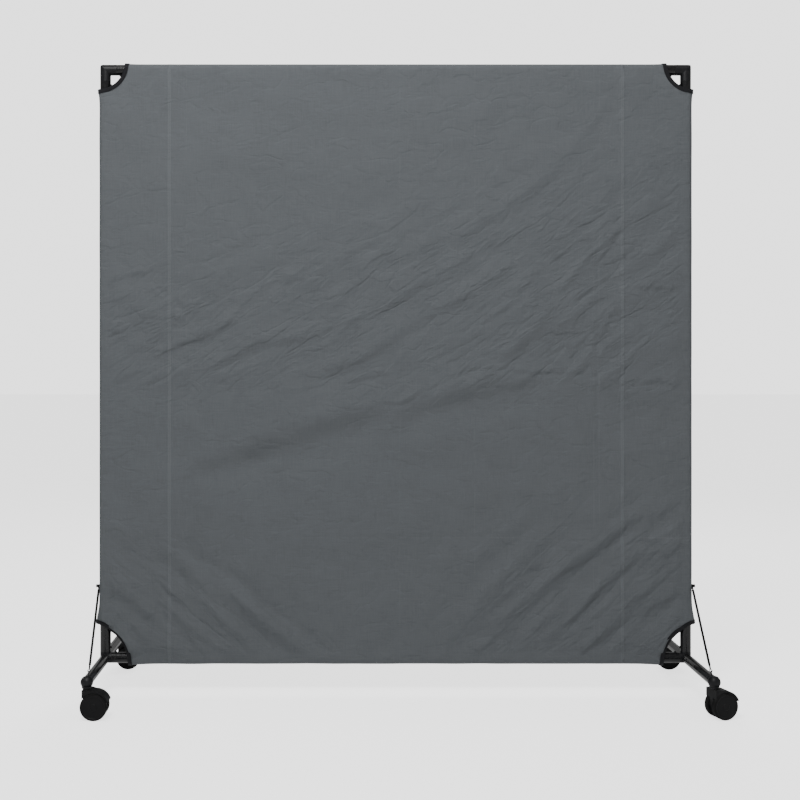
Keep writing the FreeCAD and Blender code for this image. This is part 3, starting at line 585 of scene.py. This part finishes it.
def on_curve(corner, inset, points):
    """True if every point lies on the wall of a corner's drum."""
    for p in points:
        across = (p.x - corner["side"] * FRAME_EDGE) / (corner["wide"] - inset)
        up = (p.z - corner["z"]) / (corner["tall"] - inset)
        if abs(math.hypot(across, up) - 1) > 2e-3:
            return False
    return True


def cut_corner(item, corner, inset):
    drum = corner_drum(corner, inset, "cutter")
    apply_modifier(item, "BOOLEAN", operation="DIFFERENCE", solver="EXACT", object=drum)
    bpy.data.objects.remove(drum, do_unlink=True)
    return delete_faces(item, lambda c, n, ps: abs(n.y) < 0.2 and on_curve(corner, inset, ps))


def copy_of(item, name):
    """A copy with a mesh of its own."""
    new = item.copy()
    new.data = item.data.copy()
    new.name = name
    new.data.name = name
    bpy.context.scene.collection.objects.link(new)
    return new


tape_blank = copy_of(bag, "tape_blank")
for corner in CORNERS:
    print(corner["title"], "walls removed:", cut_corner(bag, corner, TAPE_WIDTH * 0.4))

# %% [markdown]
# ## Seams
# The three widths of canvas are joined by felled seams: the middle cloth's edge is folded over the
# side cloth and sewn down twice. The middle cloth therefore ends in a raised band ten millimetres
# wide. Extra edge loops are cut where the band starts and stops, so that its step stays crisp.

# %% Cut loops for the seam bands and divide the cover
BAND = 0.005
BAND_HIGH = SEAM + BAND
BAND_LOW = SEAM - BAND
RISE = 0.00085
RAMP = 0.006
UNDER = BAND_LOW + 0.001


def bisect(item, x, clear=None):
    """Cut a loop through a mesh at x. clear removes what lies beyond or below it."""
    only(item)
    bpy.ops.object.mode_set(mode="EDIT")
    bpy.ops.mesh.select_all(action="SELECT")
    bpy.ops.mesh.bisect(
        plane_co=(x, 0, 0), plane_no=(1, 0, 0),
        clear_outer=clear == "beyond", clear_inner=clear == "below",
    )
    bpy.ops.object.mode_set(mode="OBJECT")


for side in (-1, 1):
    for place in (BAND_LOW - RAMP, BAND_LOW - RAMP / 2, BAND_LOW, UNDER, BAND_HIGH):
        bisect(bag, side * place)


cloths = {}
for word, low_side, high_side in (
    ("left", None, -UNDER), ("centre", -BAND_HIGH, BAND_HIGH), ("right", UNDER, None),
):
    cloth = copy_of(bag, f"cloth_{word}")
    if low_side is not None:
        bisect(cloth, low_side, clear="below")
    if high_side is not None:
        bisect(cloth, high_side, clear="beyond")
    cloths[word] = cloth
print({word: len(cloth.data.polygons) for word, cloth in cloths.items()})

# %% [markdown]
# ## Creases
# Canvas that has been folded away keeps its folds, and the pull of the corners adds long drags across
# it. Each crease is a route over the panel with a width and a depth: a ridge runs just above the
# route and a shallow valley just below it. Routes are given as shares of the panel's width and
# height, measured from its lower left corner. The mesh is made finer only along them.

# %% The routes
LONG_DRAGS = [
    ([(0.14, 0.315), (0.34, 0.378), (0.50, 0.43)], 0.038, 0.0054),
    ([(0.49, 0.41), (0.60, 0.443), (0.74, 0.47)], 0.033, 0.0044),
    ([(0.185, 0.49), (0.28, 0.53), (0.43, 0.57), (0.64, 0.68)], 0.018, 0.0018),
    ([(0.345, 0.48), (0.415, 0.49), (0.555, 0.575), (0.625, 0.605)], 0.016, 0.0017),
    ([(0.455, 0.65), (0.565, 0.70), (0.64, 0.73), (0.775, 0.83), (0.87, 0.955)], 0.018, 0.0013),
    ([(0.54, 0.575), (0.675, 0.63)], 0.012, 0.0010),
    ([(0.505, 0.605), (0.63, 0.68), (0.745, 0.755)], 0.012, 0.0010),
    ([(0.675, 0.49), (0.725, 0.54), (0.83, 0.63)], 0.015, 0.0019),
    ([(0.09, 0.47), (0.2, 0.50), (0.32, 0.56)], 0.012, 0.0009),
    ([(0.28, 0.62), (0.38, 0.67), (0.50, 0.71), (0.60, 0.77)], 0.013, 0.0008),
    ([(0.46, 0.38), (0.57, 0.395), (0.68, 0.43), (0.80, 0.45)], 0.014, 0.0009),
    ([(0.10, 0.205), (0.22, 0.12), (0.30, 0.065), (0.38, 0.01)], 0.022, -0.0042),
    ([(0.09, 0.165), (0.18, 0.10), (0.28, 0.01)], 0.018, -0.0030),
    ([(0.10, 0.12), (0.20, 0.01)], 0.016, -0.0022),
    ([(0.58, 0.01), (0.69, 0.12), (0.80, 0.235)], 0.022, 0.0028),
    ([(0.64, 0.01), (0.75, 0.11), (0.85, 0.20), (0.99, 0.27)], 0.022, 0.0032),
    ([(0.74, 0.01), (0.83, 0.10), (0.92, 0.165), (0.995, 0.20)], 0.018, 0.0026),
    ([(0.82, 0.01), (0.91, 0.075), (0.995, 0.115)], 0.016, 0.0022),
]
SHARP_DRAGS = [
    ([(0.125, 0.53), (0.195, 0.55), (0.255, 0.61)], 0.009, 0.0012),
    ([(0.75, 0.605), (0.785, 0.63), (0.845, 0.70)], 0.009, 0.0013),
    ([(0.525, 0.44), (0.625, 0.49), (0.75, 0.485), (0.845, 0.485)], 0.008, 0.0010),
    ([(0.475, 0.435), (0.515, 0.435), (0.55, 0.465)], 0.007, 0.0013),
    ([(0.775, 0.465), (0.82, 0.50), (0.87, 0.59)], 0.010, 0.0013),
    ([(0.795, 0.605), (0.875, 0.655)], 0.009, 0.0010),
    ([(0.845, 0.675), (0.88, 0.73)], 0.009, 0.0008),
    ([(0.30, 0.45), (0.42, 0.47), (0.52, 0.49)], 0.008, 0.0009),
    ([(0.60, 0.55), (0.68, 0.59), (0.74, 0.66)], 0.009, 0.0010),
    ([(0.005, 0.625), (0.035, 0.645), (0.085, 0.655)], 0.009, 0.0011),
    ([(0.085, 0.64), (0.12, 0.605), (0.17, 0.555)], 0.009, -0.0010),
    ([(0.015, 0.46), (0.05, 0.48), (0.085, 0.49)], 0.009, 0.0010),
    ([(0.015, 0.54), (0.05, 0.585), (0.085, 0.60)], 0.009, 0.0008),
    ([(0.885, 0.625), (0.91, 0.63), (0.995, 0.625)], 0.010, 0.0012),
    ([(0.885, 0.465), (0.945, 0.47), (0.995, 0.455)], 0.010, 0.0012),
    ([(0.885, 0.345), (0.945, 0.35), (0.995, 0.345)], 0.010, 0.0008),
    ([(0.885, 0.195), (0.945, 0.205), (0.995, 0.245)], 0.010, 0.0010),
]
FOLD_LINES = [
    ([(0.485, 0.26), (0.505, 0.36), (0.505, 0.56)], 0.007, 0.0006),
    ([(0.65, 0.52), (0.65, 0.66)], 0.006, 0.0006),
    ([(0.635, 0.14), (0.635, 0.36)], 0.006, 0.0004),
    ([(0.835, 0.27), (0.835, 0.61)], 0.006, 0.0006),
    ([(0.845, 0.27), (0.845, 0.61)], 0.006, -0.0005),
    ([(0.147, 0.31), (0.147, 0.52)], 0.006, -0.0005),
    ([(0.075, 0.205), (0.4, 0.208), (0.845, 0.212)], 0.006, 0.0005),
    ([(0.39, 0.84), (0.39, 0.99)], 0.008, 0.0003),
    ([(0.50, 0.70), (0.50, 0.99)], 0.008, 0.0004),
    ([(0.61, 0.84), (0.61, 0.99)], 0.008, 0.0003),
]
FRONT_CREASES = LONG_DRAGS + SHARP_DRAGS + FOLD_LINES


def turned_about(creases):
    """The same kind of creases seen from behind, turned upside down about the panel's middle."""
    return [([(1 - u, 0.95 - 0.9 * v) for u, v in route], width, depth) for route, width, depth in creases]


BACK_CREASES = turned_about(LONG_DRAGS[:8] + SHARP_DRAGS[:7]) + FOLD_LINES
print(len(FRONT_CREASES), "creases in front,", len(BACK_CREASES), "behind")


# %% Distance from a route, and the height of a crease
def smooth_route(route, steps=12):
    """Points along a curve through the route, in metres on the panel."""
    places = np.array([((u - 0.5) * 2 * FRAME_EDGE, LOW + v * (TOP - LOW)) for u, v in route])
    ends = np.vstack([2 * places[0] - places[1], places, 2 * places[-1] - places[-2]])
    found = []
    for i in range(len(places) - 1):
        p0, p1, p2, p3 = ends[i : i + 4]
        for t in np.arange(steps) / steps:
            found.append(
                0.5 * (2 * p1 + (p2 - p0) * t + (2 * p0 - 5 * p1 + 4 * p2 - p3) * t**2
                       + (3 * p1 - p0 - 3 * p2 + p3) * t**3)
            )
    found.append(places[-1])
    return np.array(found)


def route_distance(flat, curve):
    """Signed distance of flat points from a curve, and how far along it they lie, from 0 to 1."""
    best = np.full(len(flat), 1e9)
    signed = np.full(len(flat), 1e9)
    along = np.zeros(len(flat))
    lengths = np.linalg.norm(np.diff(curve, axis=0), axis=1)
    total = lengths.sum()
    run = 0.0
    for a, b, length in zip(curve[:-1], curve[1:], lengths):
        way = (b - a) / length
        gap = flat - a
        t = np.clip(gap @ way, 0, length)
        off = gap - t[:, None] * way
        distance = np.hypot(off[:, 0], off[:, 1])
        side = np.sign(way[0] * gap[:, 1] - way[1] * gap[:, 0])
        closer = distance < best
        best = np.where(closer, distance, best)
        signed = np.where(closer, distance * side, signed)
        along = np.where(closer, (run + t) / total, along)
        run += length
    return signed, along


def crease_heights(flat, creases):
    """How far each flat point stands out because of the creases."""
    height = np.zeros(len(flat))
    for route, width, depth in creases:
        curve = smooth_route(route)
        low, high = curve.min(0) - 4 * width, curve.max(0) + 4 * width
        near = np.all((flat > low) & (flat < high), axis=1)
        if not near.any():
            continue
        distance, along = route_distance(flat[near], curve)
        fade = np.sin(np.pi * np.clip(along, 0, 1)) ** 0.6
        wide = width * (0.6 + 0.5 * fade)
        ratio = distance / wide
        height[near] += depth * fade * ratio * np.exp(0.5 - 0.5 * ratio**2)
    return height


def refine_along(item, creases, reach, front):
    """Subdivide the faces of one side that lie near the routes."""
    mesh = item.data
    centres = np.empty(len(mesh.polygons) * 3)
    mesh.polygons.foreach_get("center", centres)
    centres = centres.reshape(-1, 3)
    chosen = np.zeros(len(centres), dtype=bool)
    this_side = (centres[:, 1] < -ROLL * 0.9) if front else (centres[:, 1] > ROLL * 0.9)
    flat = centres[:, [0, 2]]
    for route, width, _ in creases:
        curve = smooth_route(route, 6)
        low, high = curve.min(0) - reach, curve.max(0) + reach
        near = this_side & np.all((flat > low) & (flat < high), axis=1) & ~chosen
        if near.any():
            distance, _ = route_distance(flat[near], curve)
            chosen[np.flatnonzero(near)[np.abs(distance) < reach]] = True
    only(item)
    bpy.ops.object.mode_set(mode="EDIT")
    bpy.ops.mesh.select_mode(type="FACE")
    bpy.ops.mesh.select_all(action="DESELECT")
    bpy.ops.object.mode_set(mode="OBJECT")
    mesh.polygons.foreach_set("select", chosen)
    bpy.ops.object.mode_set(mode="EDIT")
    bpy.ops.mesh.subdivide(number_cuts=1)
    bpy.ops.object.mode_set(mode="OBJECT")
    return int(chosen.sum())


for word, cloth in cloths.items():
    broad = refine_along(cloth, FRONT_CREASES, 0.017, True)
    sharp = refine_along(cloth, SHARP_DRAGS, 0.009, True)
    print(word, "refined", broad, "then", sharp, "now", len(cloth.data.polygons), "faces")


# %% Maps in metres, then the creases themselves
def flat_map(item):
    """Lay each face out in metres, so the weave runs straight along both threads."""
    mesh = item.data
    layer = mesh.uv_layers.new(name="cloth_metres") if not mesh.uv_layers else mesh.uv_layers[0]
    places = points_of(item)
    x, y, z = places.T
    past_post = np.clip(np.abs(x) - POST, 0, ROLL)
    past_top = np.clip(z - TOP, 0, ROLL)
    past_low = np.clip(LOW - z, 0, ROLL)
    u = np.sign(x) * (np.minimum(np.abs(x), POST) + ROLL * np.arcsin(past_post / ROLL))
    v = np.clip(z, LOW, TOP) + ROLL * (np.arcsin(past_top / ROLL) - np.arcsin(past_low / ROLL))
    corners = np.empty(len(mesh.loops), dtype=np.int32)
    mesh.loops.foreach_get("vertex_index", corners)
    laid = np.column_stack([u, v])[corners]
    layer.data.foreach_set("uv", laid.reshape(-1))


def smoothstep(value, low, high):
    t = np.clip((value - low) / (high - low), 0, 1)
    return t * t * (3 - 2 * t)


def field_noise(places, scale, seed):
    """Smooth noise from -1 to 1 at flat places."""
    return np.array([noise.noise(Vector((p[0] * scale, p[1] * scale, seed))) for p in places])


def drag_waves(places, angle, spacing, seed):
    """Long soft waves that run at an angle, with a sharper line along each low place."""
    turn = np.radians(angle)
    along = places[:, 0] * np.cos(turn) + places[:, 1] * np.sin(turn)
    across = places[:, 1] * np.cos(turn) - places[:, 0] * np.sin(turn)
    bent = across + 0.035 * field_noise(places, 2.6, seed + 40)
    laid = np.column_stack([along * 0.16, bent]) / spacing
    wave = field_noise(laid, 1.0, seed)
    line = np.clip(1 - np.abs(wave) / 0.22, 0, 1) ** 2
    return wave - 0.45 * line


def zones(spots):
    """How far across and up the spots lie, and how strongly each pull of the cloth acts on them."""
    u = spots[:, 0] / (2 * FRAME_EDGE) + 0.5
    v = (spots[:, 1] - LOW) / (TOP - LOW)
    middle = smoothstep(v, 0.40, 0.50) * (1 - smoothstep(v - 0.2 * u, 0.56, 0.74))
    low_left = (1 - smoothstep(v + 0.35 * u, 0.16, 0.30)) * (1 - smoothstep(u, 0.30, 0.45))
    low_right = smoothstep(u - 0.5 * v, 0.50, 0.66) * (1 - smoothstep(v, 0.20, 0.34))
    return u, v, middle, low_left, low_right


def free_part(places):
    """How free the cloth is to move: nothing over the tubes, all of it away from them."""
    from_post = POST - np.abs(places[:, 0])
    from_rail = np.minimum(TOP - places[:, 2], places[:, 2] - LOW)
    inside = np.minimum(from_post, from_rail)
    return smoothstep(inside, 0.002, 0.035), smoothstep(inside, 0, 0.2)


# Height, angle and spacing of the waves at the middle left, middle right, low left and low right.
DRAG_FAMILIES = ((0.0046, 26, 0.036), (0.0048, 40, 0.036), (0.0105, -40, 0.040), (0.0088, 41, 0.040))
CREASE_GAIN = 1.3
SLOW_SWELL = 0.0046
QUICK_SWELL = 0.0024
DISH = 0.0012


def stand_out(places, number):
    """How far a cloth stands out of its flat face. number is 0 for the front and 1 for the back."""
    spots = places[:, [0, 2]]
    creases = (FRONT_CREASES, BACK_CREASES)[number]
    height = CREASE_GAIN * crease_heights(spots, creases)
    u, v, middle, low_left, low_right = zones(spots)
    if number == 1:
        u = 1 - u
    seed = 3.0 + 31.0 * number
    pulls = (middle * (1 - u), middle * u, low_left, low_right)
    for order, (pull, (amount, angle, spacing)) in enumerate(zip(pulls, DRAG_FAMILIES)):
        height += pull * amount * drag_waves(spots, angle, spacing, seed + 4 * order)
    calm = 1.15 - 0.15 * smoothstep(v, 0.62, 0.8)
    height += calm * SLOW_SWELL * field_noise(spots * [0.8, 1.3], 5.0, seed + 16)
    height += calm * QUICK_SWELL * field_noise(spots, 14.0, seed + 20)
    free, dish = free_part(places)
    return height * free - DISH * dish


# How far an ear stands out, over what length it fades, and how far its end at the post is pulled up.
EARS = {"top": (0.0035, 0.025, 0.0), "bottom": (0.0085, 0.045, 0.012)}
RAIL_EAR = 0.4


def faded_away(past_end, fade):
    """1 over a tape and falling to 0 past its end."""
    return np.exp(-((np.clip(past_end + TAPE_WIDTH, 0, None) / fade) ** 2))


def ear_push(places):
    """Beside each cut corner the tape's ends stand away from the tubes and take the cloth with them."""
    x, _, z = places.T
    push_x = np.zeros(len(places))
    push_z = np.zeros(len(places))
    for corner in CORNERS:
        reach, fade, lift = EARS[corner["title"].split("_")[0]]
        up = 1 if corner["title"].startswith("top") else -1
        end_z = corner["z"] - up * corner["tall"]
        end_x = corner["side"] * (FRAME_EDGE - corner["wide"])
        outward = corner["side"] * x
        round_post = np.clip((outward - POST) / ROLL, 0, 1)
        at_post = faded_away(up * (end_z - z), fade)
        push_x += corner["side"] * reach * round_post * at_post
        push_z += lift * smoothstep(outward, POST - TUBE * 1.5, POST + ROLL) * at_post
        edge = TOP if up > 0 else LOW
        round_rail = np.clip(up * (z - edge) / ROLL, 0, 1)
        at_rail = faded_away(corner["side"] * (end_x - x), fade)
        push_z += up * RAIL_EAR * reach * round_rail * at_rail
    return push_x, push_z


def sway(places):
    """Move points outwards at the ears, and let the lower edge hang in slow waves."""
    x, y, z = places.T.copy()
    push_x, push_z = ear_push(places)
    hang = np.clip((LOW - z) / ROLL, 0, 1)
    slow = field_noise(np.column_stack([x, np.zeros(len(x))]), 5.5, 21.0)
    quick = field_noise(np.column_stack([x, np.zeros(len(x))]), 14.0, 27.0)
    edge_wave = field_noise(np.column_stack([z, np.zeros(len(x))]), 7.0, 33.0)
    side = np.clip((np.abs(x) - POST) / ROLL, 0, 1)
    x += push_x + np.sign(x) * side * 0.0009 * (1 + edge_wave)
    z += push_z - hang * (0.0016 + 0.0016 * slow + 0.0008 * quick)
    return np.column_stack([x, y, z])


PUCKER = 0.00012
PUCKER_PITCH = 0.0165


def crease(item):
    """Move a cloth's points: creases and swells on both faces, raised seam bands, ears and hang."""
    places = points_of(item)
    x, y, z = places.T.copy()
    side = np.where(y < 0, -1.0, 1.0)
    face = smoothstep(np.abs(y), ROLL * 0.55, ROLL)
    amount = np.zeros(len(places))
    for number, sign in ((0, -1.0), (1, 1.0)):
        mine = side == sign
        amount[mine] = stand_out(places[mine], number)
    amount *= face
    if item.name == "cloth_centre":
        band = smoothstep(np.abs(x), BAND_LOW - RAMP, BAND_LOW) * (np.abs(y) > 1e-4)
        pucker = PUCKER * np.sin(z * 2 * np.pi / PUCKER_PITCH)
        amount += band * (RISE + pucker * face)
    y += side * amount
    item.data.attributes.new("pull", "FLOAT_COLOR", "POINT")
    _, _, *pulls = zones(np.column_stack([x, z]))
    free, _ = free_part(places)
    pull = np.column_stack([amount_of * free for amount_of in pulls] + [free])
    item.data.attributes["pull"].data.foreach_set("color", pull.reshape(-1))
    set_points(item, sway(np.column_stack([x, y, z])))


for word, cloth in cloths.items():
    flat_map(cloth)
    crease(cloth)
    only(cloth)
    bpy.ops.object.shade_smooth()
    apply_modifier(cloth, "SOLIDIFY", thickness=CLOTH_THICK, offset=0.0)
bpy.data.objects.remove(bag, do_unlink=True)

# %% [markdown]
# ## Stitches
# Two rows of stitches hold each felled seam, on both faces of the cover. One stitch is a short
# rounded bar; a row is an array of it, laid on the cloth by moving each stitch with the creases.

# %% Stitch rows
STITCH_PITCH = 0.0034
STITCH_LENGTH = 0.0026
THREAD = 0.0005
ROWS = (BAND_LOW + 0.0014, BAND_HIGH - 0.0014)


def stitch_row(x, number):
    """One row of stitches on the front (number 0) or the back (number 1)."""
    count = int((TOP - LOW) / STITCH_PITCH)
    bpy.ops.object.select_all(action="DESELECT")
    bpy.ops.mesh.primitive_uv_sphere_add(segments=6, ring_count=4, radius=0.5, location=(x, 0, LOW))
    row = bpy.context.object
    row.name = "stitch_row"
    row.scale = (THREAD * 2, THREAD * 1.6, STITCH_LENGTH)
    apply_place(row)
    apply_modifier(
        row, "ARRAY", count=count, use_relative_offset=False, use_constant_offset=True,
        constant_offset_displace=(0, 0, STITCH_PITCH),
    )
    places = points_of(row)
    number_in_row = np.round((places[:, 2] - LOW) / STITCH_PITCH)
    middles = np.column_stack([
        np.full(len(places), x), np.zeros(len(places)), LOW + number_in_row * STITCH_PITCH,
    ])
    sign = -1 if number == 0 else 1
    rise = ROLL + stand_out(middles, number) + RISE + CLOTH_THICK / 2
    places[:, 1] += sign * rise
    set_points(row, places)
    return row


def join(items, name):
    bpy.ops.object.select_all(action="DESELECT")
    for item in items:
        item.select_set(True)
    bpy.context.view_layer.objects.active = items[0]
    bpy.ops.object.join()
    joined = bpy.context.object
    joined.name = name
    joined.data.name = name
    return joined


stitches = {}
for word, sign in (("left", -1), ("right", 1)):
    rows = [stitch_row(sign * x, number) for x in ROWS for number in (0, 1)]
    seam = join(rows, f"seam_stitches_{word}")
    only(seam)
    bpy.ops.object.shade_smooth()
    stitches[word] = seam
    print(seam.name, "faces", len(seam.data.polygons))

# %% [markdown]
# ## Binding tape
# The cut corners are bound with black tape, folded over the raw edge and sewn through. The tape is
# the strip of the same rolled bag that lies between two drums, so it crosses each tube just as the
# cloth does. It gets its thickness and soft edges from modifiers.

# %% Cut the tapes from the blank bag
def tape_strip(corner):
    """The strip of the bag between the cut edge and the tape's inner edge."""
    strip = copy_of(tape_blank, f"binding_{corner['title']}")
    outer = corner_drum(corner, 0, "outer_drum")
    apply_modifier(strip, "BOOLEAN", operation="INTERSECT", solver="EXACT", object=outer)
    bpy.data.objects.remove(outer, do_unlink=True)
    cut_corner(strip, corner, TAPE_WIDTH)
    delete_faces(strip, lambda c, n, ps: abs(n.y) < 0.2 and on_curve(corner, 0, ps))
    places = points_of(strip)
    set_points(strip, sway(places))
    only(strip)
    bpy.ops.object.shade_smooth()
    apply_modifier(strip, "SOLIDIFY", thickness=0.0032, offset=0.3)
    apply_modifier(
        strip, "BEVEL", width=0.0009, segments=2, limit_method="ANGLE", angle_limit=math.radians(50)
    )
    return strip


tapes = [tape_strip(corner) for corner in CORNERS]
bpy.data.objects.remove(tape_blank, do_unlink=True)
print({tape.name: len(tape.data.polygons) for tape in tapes})

# %% [markdown]
# ## Stay sheaths
# Each stay is a taut cord in a braided black sheath. The cord, its rings and its ferrules are in the
# frame already; the sheath is a plain sleeve drawn over the cord between the two rings.

# %% Sleeves over the four stays
SHEATH = 0.0034
SHEATH_ENDS = 0.018


def ring_middle(points, top):
    """The middle of the ring at one end of a stay."""
    heights = points[:, 2]
    near = heights > heights.max() - 0.009 if top else heights < heights.min() + 0.009
    chosen = points[near]
    return Vector((chosen.min(0) + chosen.max(0)) / 2)


def stay_sheath(title):
    points = points_of(frame["nodes"][f"stay_{title}"])
    head, foot = ring_middle(points, True), ring_middle(points, False)
    run = (head - foot).normalized()
    start, stop = foot + run * SHEATH_ENDS, head - run * SHEATH_ENDS
    bpy.ops.object.select_all(action="DESELECT")
    bpy.ops.mesh.primitive_cylinder_add(
        vertices=16, radius=SHEATH, depth=(stop - start).length, location=(start + stop) / 2,
        rotation=run.to_track_quat("Z", "Y").to_euler(),
    )
    sheath = bpy.context.object
    sheath.name = f"stay_sheath_{title}"
    apply_place(sheath)
    apply_modifier(sheath, "BEVEL", width=0.0006, segments=2, limit_method="ANGLE")
    only(sheath)
    bpy.ops.object.shade_smooth_by_angle(angle=math.radians(40))
    sheath.data.materials.append(FINISHES["stay_cord"])
    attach(sheath, "frame")
    return sheath


sheaths = [stay_sheath(f"{end}_{side}") for end in ("front", "rear") for side in ("left", "right")]
print("sheaths:", [[round(d, 3) for d in sheath.dimensions] for sheath in sheaths])

# %% [markdown]
# ## Canvas
# The cloth is a plain woven cotton duck: threads go over and under, some thicker than others, and the
# colour is a little uneven because the yarn takes the dye unevenly.

# %% Crumples and faded folds, as shader groups
def make_crumple_group():
    """Small creases that run along X of a turned map: a height."""
    group, way_in, way_out = new_group(
        "crumple", [("Vector", "NodeSocketVector", None)], [("Height", "NodeSocketFloat")]
    )
    bent = group.nodes.new("ShaderNodeTexNoise")
    bent.inputs["Scale"].default_value = 0.8
    bent.inputs["Detail"].default_value = 2.0
    group.links.new(way_in.outputs["Vector"], bent.inputs["Vector"])
    shift = group.nodes.new("ShaderNodeVectorMath")
    shift.operation = "MULTIPLY_ADD"
    shift.inputs[1].default_value = (1.1, 1.1, 1.1)
    group.links.new(bent.outputs["Color"], shift.inputs[0])
    group.links.new(way_in.outputs["Vector"], shift.inputs[2])
    soft = noise_node(group, shift.outputs["Vector"], 1.0, 4.0, 0.5)
    ridge = math_node(group, "ABSOLUTE", math_node(group, "SUBTRACT", soft, 0.5))
    ridge = ramp_node(group, ridge, 0.0, 0.09)
    height = plus(group, times(group, ridge, 0.35), soft)
    group.links.new(height, way_out.inputs["Height"])
    return group


def make_fade_group():
    """A faded line across a map at a set place, broken up along its length."""
    group, way_in, way_out = new_group(
        "faded_fold",
        [
            ("Vector", "NodeSocketVector", None),
            ("Coordinate", "NodeSocketFloat", 0.0),
            ("Place", "NodeSocketFloat", 0.0),
            ("Half width", "NodeSocketFloat", 0.002),
        ],
        [("Mask", "NodeSocketFloat")],
    )
    gap = math_node(group, "SUBTRACT", way_in.outputs["Coordinate"], way_in.outputs["Place"])
    gap = math_node(group, "DIVIDE", math_node(group, "ABSOLUTE", gap), way_in.outputs["Half width"])
    line = math_node(group, "SUBTRACT", 1.0, gap, clamp=True)
    broken = ramp_node(group, noise_node(group, way_in.outputs["Vector"], 6.0, 6.0, 0.75), 0.44, 0.62)
    group.links.new(times(group, line, broken), way_out.inputs["Mask"])
    return group


CRUMPLE = make_crumple_group()
FADE = make_fade_group()


# %% Canvas material and the cloths' places in the frame
def crumple_height(tree, vector, angle, along, across):
    """Crumples that run at an angle over the map."""
    turn = tree.nodes.new("ShaderNodeMapping")
    turn.vector_type = "TEXTURE"
    turn.inputs["Rotation"].default_value = (0, 0, math.radians(angle))
    turn.inputs["Scale"].default_value = (1 / along, 1 / across, 1)
    tree.links.new(vector, turn.inputs["Vector"])
    return place_group(tree, CRUMPLE, turn.outputs["Vector"]).outputs["Height"]


def cover_crumple(tree, vector):
    """All the small creases of the cover, each where its pull acts."""
    pull = tree.nodes.new("ShaderNodeAttribute")
    pull.attribute_name = "pull"
    parts = tree.nodes.new("ShaderNodeSeparateColor")
    tree.links.new(pull.outputs["Color"], parts.inputs["Color"])
    total = times(tree, crumple_height(tree, vector, 8, 11.0, 17.0), 0.62)
    for channel, angle, along, across, amount in (
        ("Red", 32, 6.0, 19.0, 1.0),
        ("Green", -40, 3.0, 11.0, 1.3),
        ("Blue", 42, 3.5, 14.0, 1.1),
    ):
        height = crumple_height(tree, vector, angle, along, across)
        height = times(tree, height, parts.outputs[channel])
        total = plus(tree, total, times(tree, height, amount))
    return total


FADED_ACROSS = (-0.626, 0.012, 0.236, 0.592, 0.608)
FADED_UP = (LOW + 0.205 * (TOP - LOW),)


def faded_folds(tree, vector):
    """Where the cloth has faded along old folds, and how far each place is from the middle."""
    split = tree.nodes.new("ShaderNodeSeparateXYZ")
    tree.links.new(vector, split.inputs["Vector"])
    total = None
    lines = [("X", place, 0.0018) for place in FADED_ACROSS] + [("Y", place, 0.0022) for place in FADED_UP]
    for letter, place, half in lines:
        fold = place_group(tree, FADE, vector, Place=place, Half_width=half)
        tree.links.new(split.outputs[letter], fold.inputs["Coordinate"])
        mask = fold.outputs["Mask"]
        total = mask if total is None else math_node(tree, "MAXIMUM", total, mask)
    return total, math_node(tree, "ABSOLUTE", split.outputs["X"])


CRUMPLE_HEIGHT = 0.0035
SLACK_HEIGHT = 0.0006
THREAD_HEIGHT = 0.0002


def canvas_finish(name, colour, weave_strength, cover=False):
    """Woven cotton. The weave follows the cloth's own map in metres."""
    material, tree, shader, place = start_material(name)
    weave = place_group(tree, WEAVE, place.outputs["UV"], Threads_per_metre=1250.0)
    blotch = ramp_node(tree, noise_node(tree, place.outputs["Object"], 16.0, 8.0, 0.75), 0.36, 0.64)
    fleck = ramp_node(tree, noise_node(tree, place.outputs["UV"], 300.0, 3.0, 0.6), 0.3, 0.7)
    pale = tuple(c * 1.11 for c in colour)
    deep = tuple(c * 0.9 for c in colour)
    shade = mix_colour(tree, weave.outputs["Slub"], deep, pale)
    shade = mix_colour(tree, times(tree, blotch, 0.5), shade, pale)
    shade = mix_colour(tree, times(tree, fleck, 0.4), shade, deep)
    shader.inputs["Roughness"].default_value = 0.88
    shader.inputs["Specular IOR Level"].default_value = 0.25
    shader.inputs["Sheen Weight"].default_value = 0.12
    shader.inputs["Sheen Roughness"].default_value = 0.5
    shader.inputs["Sheen Tint"].default_value = (0.8, 0.85, 0.9, 1)
    crumple = None
    if cover:
        faded, from_middle = faded_folds(tree, place.outputs["UV"])
        shade = mix_colour(tree, times(tree, faded, 0.3), shade, tuple(c * 1.5 for c in colour))
        # Painted highlight: the seam bands are painted lighter, standing in for the light that each raised
        # band's edge catches.
        band = math_node(tree, "ABSOLUTE", math_node(tree, "SUBTRACT", from_middle, SEAM))
        band = times(tree, ramp_node(tree, band, BAND, BAND * 0.7), 0.3)
        shade = mix_colour(tree, band, shade, tuple(c * 1.4 for c in colour))
        crumple = bump_node(tree, cover_crumple(tree, place.outputs["UV"]), 1.0, CRUMPLE_HEIGHT)
    tree.links.new(shade, shader.inputs["Base Color"])
    slack = noise_node(tree, place.outputs["UV"], 55.0, 4.0, 0.6)
    soft = bump_node(tree, slack, 0.5, SLACK_HEIGHT, crumple)
    height = plus(tree, weave.outputs["Height"], weave.outputs["Slub"])
    bump = bump_node(tree, height, weave_strength, THREAD_HEIGHT, soft)
    tree.links.new(bump, shader.inputs["Normal"])
    return material


canvas = canvas_finish("grey_cotton_duck", (0.121, 0.131, 0.140), 0.5, cover=True)
thread = canvas_finish("pale_grey_thread", (0.175, 0.188, 0.198), 0.2)
tape_cloth = canvas_finish("black_binding_tape", (0.012, 0.012, 0.014), 0.6)


def put_on(piece, material):
    """Give a piece its material and its slot, and let it move with the frame."""
    piece.data.materials.clear()
    piece.data.materials.append(material)
    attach(piece, "frame")


for seam in stitches.values():
    put_on(seam, thread)
for tape in tapes:
    put_on(tape, tape_cloth)
    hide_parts("corner_bindings")
for word, cloth in cloths.items():
    put_on(cloth, canvas)
    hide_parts(f"canvas_{word}")
